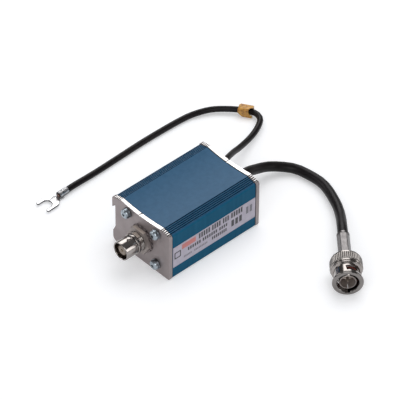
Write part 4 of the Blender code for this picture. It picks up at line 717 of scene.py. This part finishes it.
def make_housing():
    loops = [housing_outline(0, 0.5, 0.45), cavity_outline()] + [circle(place, 1.5, 24) for place in SCREWS]
    shell = piece("housing_shell", slab(loops, EXTRUSION_LENGTH, 0.05), [BLUE, BLUE_GROOVE_SHADE, BLUE_SIDE_LIGHTING],
                  standing(0, 0, 0), "housing_extrusion", sharp=60)
    paint(shell, shell_look)
    loops = [housing_outline(PLATE_OVERHANG, 0.42, 0.42, 0.4)] + [circle(place, 1.55, 32) for place in SCREWS]
    coax_hole, earth_hole = (COAX_X, PORT_HEIGHT), (EARTH_X, PORT_HEIGHT)
    front = slab(loops + [circle(coax_hole, 5.05)], PLATE_THICKNESS, 0.15)
    rear = slab(loops + [circle(coax_hole, 4.075), circle(earth_hole, 3.1)], PLATE_THICKNESS, 0.15)
    cone = lathe([(0, 1.3), (3.05, 1.3), (2.75, 1.0), (1.25, -0.5), (0, -0.5)], 40)
    rear = mesh_of(rear, [minus(cone, moved(x, z, 0) @ rotated(180, "X")) for x, z in SCREWS])
    for name, mesh, y in (("front_plate", front, -PLATE_MIDDLE), ("rear_plate", rear, PLATE_MIDDLE)):
        plate = piece(f"{name}_sheet", mesh, [BARE, PLATE_TOP_HIGHLIGHT, PLATE_GROOVE_SHADE], standing(0, y, 0), name,
                      sharp=60)
        paint(plate, plate_look)


make_housing()

# Label: the print is rows of plain blocks, each (start, foot, length, height, pitch, ink)
PRINT = [
    (-20.3, 14.6, 8.6, 2.9, 20, RED_INK),
    (-9.8, 14.7, 7.4, 3.1, 1.5, INK), (-1.6, 14.7, 5.8, 3.1, 1.5, INK), (5.2, 14.7, 4.2, 3.1, 1.4, INK),
    (10.4, 14.7, 7.6, 3.1, 1.5, INK),
    (-16.6, 11.7, 8.4, 1.9, 1.3, INK), (-7.4, 11.7, 9.4, 1.9, 1.3, INK), (3.0, 11.7, 5.4, 1.9, 1.3, INK),
    (-19.0, 8.8, 5.0, 1.1, 0.9, PALE_INK), (-12.6, 8.8, 8.4, 1.1, 0.9, PALE_INK),
    (-1.6, 8.8, 9.6, 1.9, 1.2, INK),
    (10.6, 9.4, 7.4, 3.8, 2.5, INK), (19.8, 11.6, 4.6, 4.2, 2.3, PALE_INK),
]
FILM_X, PRINT_X = 19.275, 19.36
FILM_REACH, FILM_FOOT, FILM_TOP = 25.7, 6.4, 18.4
BLOCK_SHARE = 0.66  # of its pitch


def oblong(x, y, width, height):
    return [(x, y), (x + width, y), (x + width, y + height), (x, y + height)]


def make_label():
    left, right = -FILM_REACH, FILM_REACH
    film = [(left, FILM_FOOT), (right, FILM_FOOT), (right, FILM_TOP), (left, FILM_TOP)]
    piece("label_film", slab([eased(film, 0.2)], 0.15, 0.03), FILM, standing(FILM_X, 0, 0, 90),
          "side_label")
    upright = standing(PRINT_X, 0, 0, 90)
    prints = {}
    for y, z, width, height, pitch, ink in PRINT:
        loops = prints.setdefault(ink.name, (ink, []))[1]
        count = max(1, round(width / pitch))
        step = width / count
        length = step * BLOCK_SHARE if count > 1 else step
        for i in range(count):
            loops.append(eased(oblong(y + i * step, z, length, height), 0.12))
    for number, (ink, loops) in enumerate(prints.values(), start=1):
        piece(f"label_print_{number}", slab(loops, 0.02, 0.002), ink, upright)
    squares = ((-24.9, 11.0, 4.0), (-24.3, 11.6, 2.8))
    outline = [eased(oblong(y, z, size, size), 0.4) for y, z, size in squares]
    piece("label_frame", slab(outline, 0.02, 0.002), INK, upright)


make_label()

# Screws
THREAD_ROOT, THREAD_CREST, THREAD_PITCH = 1.02, 1.25, 0.45


def threaded(top):
    """The profile of a screw's thread and tip, from a height down."""
    points = [(THREAD_CREST, top)]
    while top > -6.6:
        points += [(THREAD_CREST, top - 0.28), (THREAD_ROOT, top - THREAD_PITCH)]
        top -= THREAD_PITCH
    return points + [(THREAD_CREST - 0.05, -7.1), (THREAD_ROOT - 0.2, -8.0), (0, -8.0)]


def crossed(head, length, width, top, depth):
    """The screw with a cross recess that narrows downwards."""
    cuts = []
    for turn in (0, 90):
        blade = block((length, width, 2 * depth), (0, 0, top))
        for vertex in blade.vertices:
            if vertex.co.z < top * MM:
                vertex.co.x *= 0.45
                vertex.co.y *= 0.8
        cuts.append(minus(blade, rotated(turn)))
    return mesh_of(head, cuts)


def make_screws():
    dome = [(0, 1.8), (0.62, 1.785), (1.25, 1.73), (1.75, 1.6), (2.1, 1.38), (2.34, 1.06), (2.46, 0.7),
            (2.5, 0.35), (2.5, 0.0)]
    pan = crossed(lathe(eased(dome, 0.12, closed=False) + threaded(0.0), 40), 2.3, 0.6, 1.8, 1.1)
    cone = [(0, -0.02), (2.2, -0.02), (2.35, -0.14), (1.25, -1.2)]
    flush = crossed(lathe(cone + threaded(-1.3), 40), 2.2, 0.6, 0.0, 0.8)
    ring = arc((0, 0), 2.6, 7, 353, 44) + arc((0, 0), 1.55, 347.4, 12.6, 32)
    washer = slab([eased(ring, 0.1)], 0.6, 0.1)
    # The split ring's ends are sprung apart
    for vertex in washer.vertices:
        angle = math.degrees(math.atan2(vertex.co.y, vertex.co.x)) % 360
        vertex.co.z += (angle - 180) / 180 * 0.09 * MM
    for number, (x, z) in enumerate(SCREWS, start=1):
        turn = rotated(25 + 31 * number)
        screw = piece(f"front_pan_screw_{number}", pan.copy(), [ZINC, RECESS_SHADE],
                      FRONT @ moved(x, z, 1.0) @ turn, f"front_screw_{number}", sharp=40)
        # The cross recess gets painted shade
        paint(screw, lambda middle, normal: math.hypot(middle.x, middle.y) < 1.36 and 0.4 < middle.z < 1.62)
        piece(f"front_split_washer_{number}", washer.copy(), ZINC, FRONT @ moved(x, z, 0.5) @ turn,
              f"front_lock_washer_{number}")
        piece(f"rear_flush_screw_{number}", flush.copy(), ZINC, REAR @ moved(-x, z, -0.1) @ turn,
              f"rear_screw_{number}", sharp=40)


make_screws()

# Jack. Every height is from the plate's face
JACK_REACH, JACK_RADIUS = 13.4, 4.825
JACK_ROOT, JACK_CREST, JACK_PITCH = 4.45, 4.75, 0.8
JACK_THREAD_LOW, JACK_THREAD_HIGH = 0.12, 4.72
LUG_ANGLE, LUG_SETBACK = 83, 4.7
CONTACT_SETBACK, INSULATOR_SETBACK = 1.3, 5.3
FLAT_LOW, FLAT_HIGH = 2.8, 4.75
TOOTH_COUNT, TOOTH_REACH, TOOTH_DEPTH = 16, 7.3, 0.9
NUT_CORNER = 6.35 / math.cos(math.pi / 6)


def jack_thread(radius, height, angle):
    """Winds the thread round the plain stem."""
    if not JACK_THREAD_LOW <= height <= JACK_THREAD_HIGH or radius < JACK_ROOT - 0.2:
        return radius
    turn = (height / JACK_PITCH + angle / math.tau) % 1.0
    return JACK_ROOT + (JACK_CREST - JACK_ROOT) * min(1.0, 1.6 * (1 - abs(2 * turn - 1)))


def make_barrel():
    mouth = JACK_REACH
    profile = [(4.6, mouth), (JACK_RADIUS, mouth - 0.22), (JACK_RADIUS, 7.1), (4.35, 7.1), (4.35, 6.4),
               (4.88, 6.4), (5.1, 6.18), (5.1, 5.02), (4.88, 4.8), (4.55, 4.75)]
    stem = [(4.6, 4.7 - i * 0.08) for i in range(58)]
    inner = [(4.45, 0.1), (4.45, -2.3), (7.0, -2.3), (7.0, -3.8), (4.5, -3.8), (4.5, -6.8), (2.6, -6.8),
             (2.6, 4.6), (4.1, 4.6), (4.1, mouth - 0.22), (4.32, mouth)]
    profile = eased(profile, 0.07, closed=False) + stem + eased(inner, 0.06, closed=False)
    body = lathe(profile, 96, shape=jack_thread)
    lug = eased([(0, 0.55), (0.95, 0.55), (1.0, 0.45), (1.0, -0.6), (0, -0.6)], 0.08, closed=False)
    steps = []
    for side in (0, 180):
        angle = LUG_ANGLE + side
        x, y = 4.95 * math.cos(math.radians(angle)), 4.95 * math.sin(math.radians(angle))
        place = moved(x, y, mouth - LUG_SETBACK) @ rotated(angle) @ rotated(90, "Y")
        steps.append(plus(lathe(lug, 28), place))
    # A flat along the thread keeps the jack from turning
    steps.append(minus(block((12, 2, 1.95), (0, 5.25, 3.775))))
    barrel = piece("jack_barrel", mesh_of(body, steps), [NICKEL, FLAT_REFLECTION], JACK, "jack_shell",
                   sharp=42)
    # The upward flat gets the painted reflection
    paint(barrel, lambda middle, normal: FLAT_LOW < middle.z < FLAT_HIGH and normal.y > 0.97 and middle.y > 4)


def make_jack():
    make_barrel()
    face, tip = JACK_REACH - INSULATOR_SETBACK, JACK_REACH - CONTACT_SETBACK
    profile = [(2.4, tip + 0.3), (2.4, face), (3.85, face), (3.85, face - 3.2), (2.35, face - 3.2),
               (2.35, -6.8), (1.3, -6.8), (1.3, tip + 0.08), (0.75, tip + 0.08), (0.75, tip + 0.3)]
    piece("jack_dielectric", lathe(profile, 48, 0.08), CREAM, JACK, "jack_insulator")
    profile = [(0, tip - 5.0), (0.7, tip - 5.0), (0.7, tip - 0.15), (0.8, tip), (0.95, tip),
               (1.05, tip - 0.2), (1.05, -6.8), (0.6, -6.8), (0.6, -9.0), (0, -9.0)]
    slits = [minus(block((3.0, 0.22, 7.0), (0, 0, tip)), rotated(turn)) for turn in (20, 110)]
    socket = mesh_of(lathe(eased(profile, 0.05, closed=False), 32), slits)
    piece("jack_socket", socket, GOLD, JACK, "jack_contact")

    teeth = []
    for tooth in range(TOOTH_COUNT):
        for share, depth in ((0.0, 0), (0.45, 0), (0.55, TOOTH_DEPTH), (0.9, TOOTH_DEPTH)):
            angle = math.tau * (tooth + share) / TOOTH_COUNT
            teeth.append(((TOOTH_REACH - depth) * math.cos(angle), (TOOTH_REACH - depth) * math.sin(angle)))
    washer = slab([eased(teeth, 0.1), circle((0, 0), 5.0, 64)], 0.5, 0.06)
    # Each tooth is twisted out of the washer's plane
    for vertex in washer.vertices:
        reach = math.hypot(vertex.co.x, vertex.co.y) / MM
        if reach > 6.45:
            share = math.atan2(vertex.co.y, vertex.co.x) * TOOTH_COUNT / math.tau % 1.0
            vertex.co.z += (share - 0.22) * 0.5 * min(1, (reach - 6.45) / 0.4) * MM
    piece("toothed_washer", washer, BARE, JACK @ moved(0, 0, 0.45), "jack_tooth_washer")

    # The nut's corners are turned off on both sides
    nut = slab([circle((0, 0), NUT_CORNER, 6), circle((0, 0), 5.0, 64)], 1.8, 0.05)
    rim, wide = NUT_CORNER - 0.5, NUT_CORNER + 0.3
    cone = lathe([(0, 1.4), (rim, 1.4), (rim, 0.9), (wide, 0.45), (wide, -0.45), (rim, -0.9), (rim, -1.4),
                  (0, -1.4)])
    hexagon = piece("hex_nut", mesh_of(nut, [common(cone)]), [DULL, FLAT_REFLECTION], JACK @ moved(0, 0, 1.8),
                    "jack_nut", sharp=25)
    # The nut's upward flat gets the painted reflection
    paint(hexagon, lambda middle, normal: normal.y > 0.97 and middle.y > 6)


make_jack()


# Grommets. Every height is from the rear plate's face
def make_grommets():
    for name, x, cable in (("coax", COAX_X, COAX_RADIUS), ("earth", EARTH_X, EARTH_RADIUS)):
        neck, bore = cable + 1.3, cable + 0.3
        lip = neck + 0.7
        profile = [(neck, GROMMET_STAND), (neck + 0.45, 1.15), (lip, 0.62), (lip, 0.2), (neck, 0.2),
                   (neck, -2.2), (lip, -2.2), (lip, -2.62), (neck, -3.6), (bore, -3.6),
                   (bore, GROMMET_STAND)]
        piece(f"{name}_sleeve", lathe(profile, 48, 0.18), RUBBER, REAR @ moved(-x, PORT_HEIGHT, 0),
              f"{name}_grommet")


make_grommets()

# Plug. Every height is minus the distance behind the mouth
KNURL_COUNT, KNURL_LOW, KNURL_HIGH = 48, -13.8, -9.15
KNURL_ROOT, KNURL_DEPTH, KNURL_FADE = 7.34, 0.31, 0.25
SLOT_STARTS, SLOT_SWEEP, SLOT_STEPS = (97, 277), 73.0, 16
SLOT_RADIUS, SLOT_DEPTH, SLOT_SINK = 1.62, 4.35, 1.2
HALF_FLATS = 2.705
FERRULE_CORNER = HALF_FLATS / math.cos(math.pi / 6)


def make_plug_core():
    profile = [(3.88, -0.9), (4.1, -1.12), (4.1, -6.9), (4.75, -6.9), (4.75, -8.3), (3.4, -8.3),
               (3.4, -16.3), (1.9, -16.3), (1.9, -26.3), (1.4, -26.3), (1.4, -15.3), (2.5, -15.3),
               (2.5, -8.2), (3.55, -8.2), (3.55, -0.9)]
    slits = [minus(block((10.4, 0.26, 8.4), (0, 0, -0.9)), rotated(turn)) for turn in (2, 92)]
    core = piece("plug_core", mesh_of(lathe(profile, 64, 0.07), slits), [NICKEL, DULL], PLUG,
                 "plug_body", sharp=42)
    paint(core, lambda middle, normal: math.hypot(middle.x, middle.y) < 3.95 and middle.z > -8.2)
    profile = [(0, -1.4), (0.25, -1.48), (0.5, -1.8), (0.66, -2.4), (0.675, -2.9), (0.675, -5.8), (0.9, -5.8),
               (0.9, -14.7), (0, -14.7)]
    piece("centre_pin", lathe(profile, 32), PIN, PLUG, "plug_pin")
    profile = [(3.3, -6.2), (3.3, -7.9), (2.25, -7.9), (2.25, -14.7), (1.15, -14.7), (1.15, -6.2)]
    piece("plug_dielectric", lathe(profile, 48, 0.1), INSULATION_LIT, PLUG, "plug_insulator")
    profile = [(4.75, -5.9), (4.75, -6.6), (4.3, -6.6), (4.3, -5.9)]
    piece("seal_ring", lathe(profile, 48, 0.15), RED, PLUG, "plug_gasket")
    profile = [(4.3, -15.0), (4.6, -15.3), (4.6, -16.0), (3.6, -16.0), (3.6, -15.0)]
    piece("retaining_collar", lathe(profile, 64, 0.1), NICKEL, PLUG, "plug_collar")


def knurl(radius, height, angle):
    """Raises teeth that run along the nut, between two rims."""
    if not KNURL_LOW <= height <= KNURL_HIGH or radius < 7.3:
        return radius
    turn = angle * KNURL_COUNT / math.tau % 1.0
    blend = min(1.0, (height - KNURL_LOW) / KNURL_FADE, (KNURL_HIGH - height) / KNURL_FADE)
    return KNURL_ROOT + KNURL_DEPTH * min(1.0, 2.2 * (1 - abs(2 * turn - 1))) * blend


def bayonet_slots():
    """The cuts of both spiral slots and of the round holes that they end in."""
    cuts = []
    for start in SLOT_STARTS:
        ramp = []
        for step in range(SLOT_STEPS + 1):
            share = step / SLOT_STEPS
            angle = math.radians(start - SLOT_SWEEP * share)
            place = (5.6 * math.cos(angle), 5.6 * math.sin(angle), -(SLOT_DEPTH + SLOT_SINK * share))
            ramp.append([value * MM for value in place])
        cuts.append(minus(mesh_of(tube("slot", ramp, SLOT_RADIUS, 5))))
        hole = lathe([(0, 2.0), (1.35, 2.0), (1.35, -2.0), (0, -2.0)], 28)
        angle = math.radians(start - SLOT_SWEEP)
        place = moved(math.cos(angle) * 5.9, math.sin(angle) * 5.9, -5.6)
        cuts.append(minus(hole, place @ rotated(start - SLOT_SWEEP) @ rotated(90, "Y")))
    return cuts


def nut_look(middle, normal):
    # The front ring gets the darker nickel of painted shade
    if middle.z > -1.7:
        return 2
    return KNURL_LOW - 0.1 < middle.z < KNURL_HIGH + 0.1 and math.hypot(middle.x, middle.y) > 7.2


def make_coupling_nut():
    outside = [(6.35, 0), (6.8, -0.06), (7.1, -0.22), (7.26, -0.48), (7.3, -0.8), (7.26, -1.1),
               (7.05, -1.42), (6.7, -1.6), (6.15, -1.83), (6.15, -7.3), (7.0, -7.52), (7.0, -7.82),
               (6.67, -8.05), (7.0, -8.27), (7.0, -8.57), (6.67, -8.8), (7.04, -8.8)]
    ribs = [(7.37, -9.13), (7.37, KNURL_HIGH)]
    ribs += [(7.37, KNURL_HIGH - KNURL_FADE - i * 0.52) for i in range(9)]
    ribs += [(7.37, KNURL_LOW), (7.37, -14.36)]
    inside = [(6.71, -14.7), (3.7, -14.7), (3.7, -11.1), (5.05, -11.1), (5.05, -0.8), (5.1, -0.45),
              (5.28, -0.18), (5.55, -0.04), (5.8, 0)]
    profile = eased(outside, 0.12, closed=False) + ribs + eased(inside, 0.08, closed=False)
    body = lathe(profile, KNURL_COUNT * 6, shape=knurl)
    mesh = mesh_of(body, [minus(block((2.4, 11.4, 10.7)))] + bayonet_slots())
    nut = piece("bayonet_nut", mesh, [NICKEL, KNURLED, RING_SHADE], PLUG, "coupling_nut",
                NUT, 42)
    paint(nut, nut_look)


def hexagonal(radius, height, angle):
    """Crimps the ferrule to a hexagon, all but its rear rim."""
    if radius < 2.5:
        return radius
    turn = (angle + math.pi / 6) % (math.pi / 3) - math.pi / 6
    flat = HALF_FLATS / math.cos(math.pi / 6 - abs(turn)) if radius < 3.0 else radius
    return min(flat, FERRULE_CORNER - 0.09)


def make_ferrule():
    front, rear = -FERRULE_FRONT, -FERRULE_REAR
    heights = [front - back for back in (0, 0.12, 1.0, 4.0, 8.0, 12.0)] + [rear + 1.6, rear + 1.1]
    profile = [(2.85, height) for height in heights] + [(3.12, rear + 0.8), (3.12, rear + 0.1), (3.04, rear)]
    profile += [(2.45, rear), (2.2, rear + 0.1), (2.2, front)]
    piece("ferrule_tube", lathe(profile, 72, shape=hexagonal), CRIMPED, PLUG, "crimp_ferrule",
          sharp=25)


make_plug_core()
make_coupling_nut()
make_ferrule()

# Fork lug
BARREL_RADIUS, BARREL_BORE, SEAM = 1.75, 1.0, 0.12
TONGUE_REACH, TONGUE_HALF, SLOT_HALF, SLOT_LENGTH, NECK_HALF = 10.8, 4.3, 2.5, 5.7, 1.65
TONGUE_HEIGHT, TONGUE_RISE, RISE_START, RISE_LENGTH = 0.45, 0.7, -0.4, 3.2
CRIMP_MARKS = [(-2.0, -0.25, 3.85), (-2.2, 0.95, 3.6)]


def stranded(radius, height, angle):
    """Grooves the bare end between its strands."""
    return radius if radius < 0.3 else radius - 0.09 * abs(math.sin(angle * 4 + height * 0.8))


def lug_look(middle, normal):
    # The crimp dents get painted shade
    if any((middle - Vector(mark)).length < 0.41 for mark in CRIMP_MARKS):
        return 2
    # The tongue's edges and the barrel's lower side get painted shade
    return abs(normal.z) < 0.95 if middle.x > -0.2 else normal.z < 0.3


def make_lug():
    seam = math.degrees(math.asin(SEAM / BARREL_RADIUS))
    section = arc((0, 0), BARREL_RADIUS, 90 + seam, 450 - seam, 40)
    section += arc((0, 0), BARREL_BORE, 450 - seam * 1.5, 90 + seam * 1.5, 32)
    barrel = slab([section], BARREL_LENGTH, 0.08)
    half, tine = TONGUE_HALF, TONGUE_HALF - SLOT_HALF
    tip, root = TONGUE_REACH - tine / 2, TONGUE_REACH - SLOT_LENGTH + SLOT_HALF
    upper = [(-2.2, NECK_HALF), (0.7, NECK_HALF), (1.7, NECK_HALF + 0.5), (3.2, half - 0.5),
             (3.8, half - 0.12), (4.6, half)]
    upper += arc((tip, SLOT_HALF + tine / 2), tine / 2, 90, -90, 10) + arc((root, 0), SLOT_HALF, 90, 180, 12)
    tongue = slab([upper + [(x, -y) for x, y in reversed(upper[:-1])]], 0.8, 0.3)
    along = moved(-BARREL_LENGTH / 2, 0, LUG_AXIS) @ rotated(90, "Y") @ rotated(90)
    across = along.inverted()
    steps = [plus(tongue, across @ moved(0, 0, TONGUE_HEIGHT))]
    for mark in CRIMP_MARKS:
        punch = lathe([(0, 0.4), (0.28, 0.3), (0.4, 0), (0.28, -0.3), (0, -0.4)], 20)
        steps.append(minus(punch, across @ moved(*mark)))
    mesh = mesh_of(barrel, steps)
    mesh.transform(along)
    # The tongue rises in a soft step in front of the barrel
    for vertex in mesh.vertices:
        rise = min(1.0, max(0.0, (vertex.co.x / MM - RISE_START) / RISE_LENGTH))
        if vertex.co.x > RISE_START * MM:
            vertex.co.z += TONGUE_RISE * rise * rise * (3 - 2 * rise) * MM
    terminal = piece("fork_terminal", mesh, [TIN, TIN_SHADE, RECESS_SHADE], LUG, "fork_lug",
                     sharp=40)
    paint(terminal, lug_look)
    strands = lathe([(0, 0.7), (0.45, 0.62), (0.85, 0.35), (0.85, -5.4), (0, -5.4)], 56, shape=stranded)
    end = piece("strand_end", strands, [COPPER, STRAND_ENDS], LUG @ moved(0, 0, LUG_AXIS) @ rotated(90, "Y"),
                "lug_strands")
    paint(end, lambda middle, normal: middle.z > 0.3)


make_lug()

# Cable marker
HALF_ACROSS, HALF_HIGH, MARKER_BORE, HALF_SLIT, MARKER_CUT = 2.6, 2.7, 1.8, 0.7, 0.91
WIRE_HEADING = (-0.713, 0.673, 0)  # where the wire leaves the marker's mouth, in the marker's frame


def make_marker():
    opening = math.degrees(math.asin(HALF_SLIT / MARKER_BORE))
    x, y, cut = HALF_ACROSS, HALF_HIGH, MARKER_CUT
    shape = [(HALF_SLIT, -y), (x - cut, -y), (x, -y + cut), (x, y - cut), (x - cut, y), (-x + cut, y),
             (-x, y - cut), (-x, -y + cut), (-x + cut, -y), (-HALF_SLIT, -y)]
    loop = eased(shape, 0.3)[1:-1] + arc((0, 0), MARKER_BORE, 270 - opening, -90 + opening, 40)
    ends = lathe([(0, 3.6), (3.9, 3.6), (3.9, -1.4), (3.3, -2.6), (2.5, -3.6), (0, -3.6)], 48)
    mouth = lathe([(0, 6.0), (1.85, 6.0), (1.85, -0.2), (0, -0.2)], 40)
    facing = Vector(WIRE_HEADING).to_track_quat("Z", "Y").to_matrix().to_4x4()
    under = moved(0, -3.975, -3.434) @ rotated(214.5, "X")
    steps = [common(ends), minus(mouth, moved(0, 0, 3.5) @ facing)]
    # Both lower corners of the tapered end are cut away
    steps += [minus(block((8, 4, 4)), rotated(turn) @ under) for turn in (-41, 41)]
    piece("snap_marker", mesh_of(slab([loop], MARKER_LENGTH, 0.15), steps), AMBER, MARKER,
          "cable_marker", sharp=40)


make_marker()
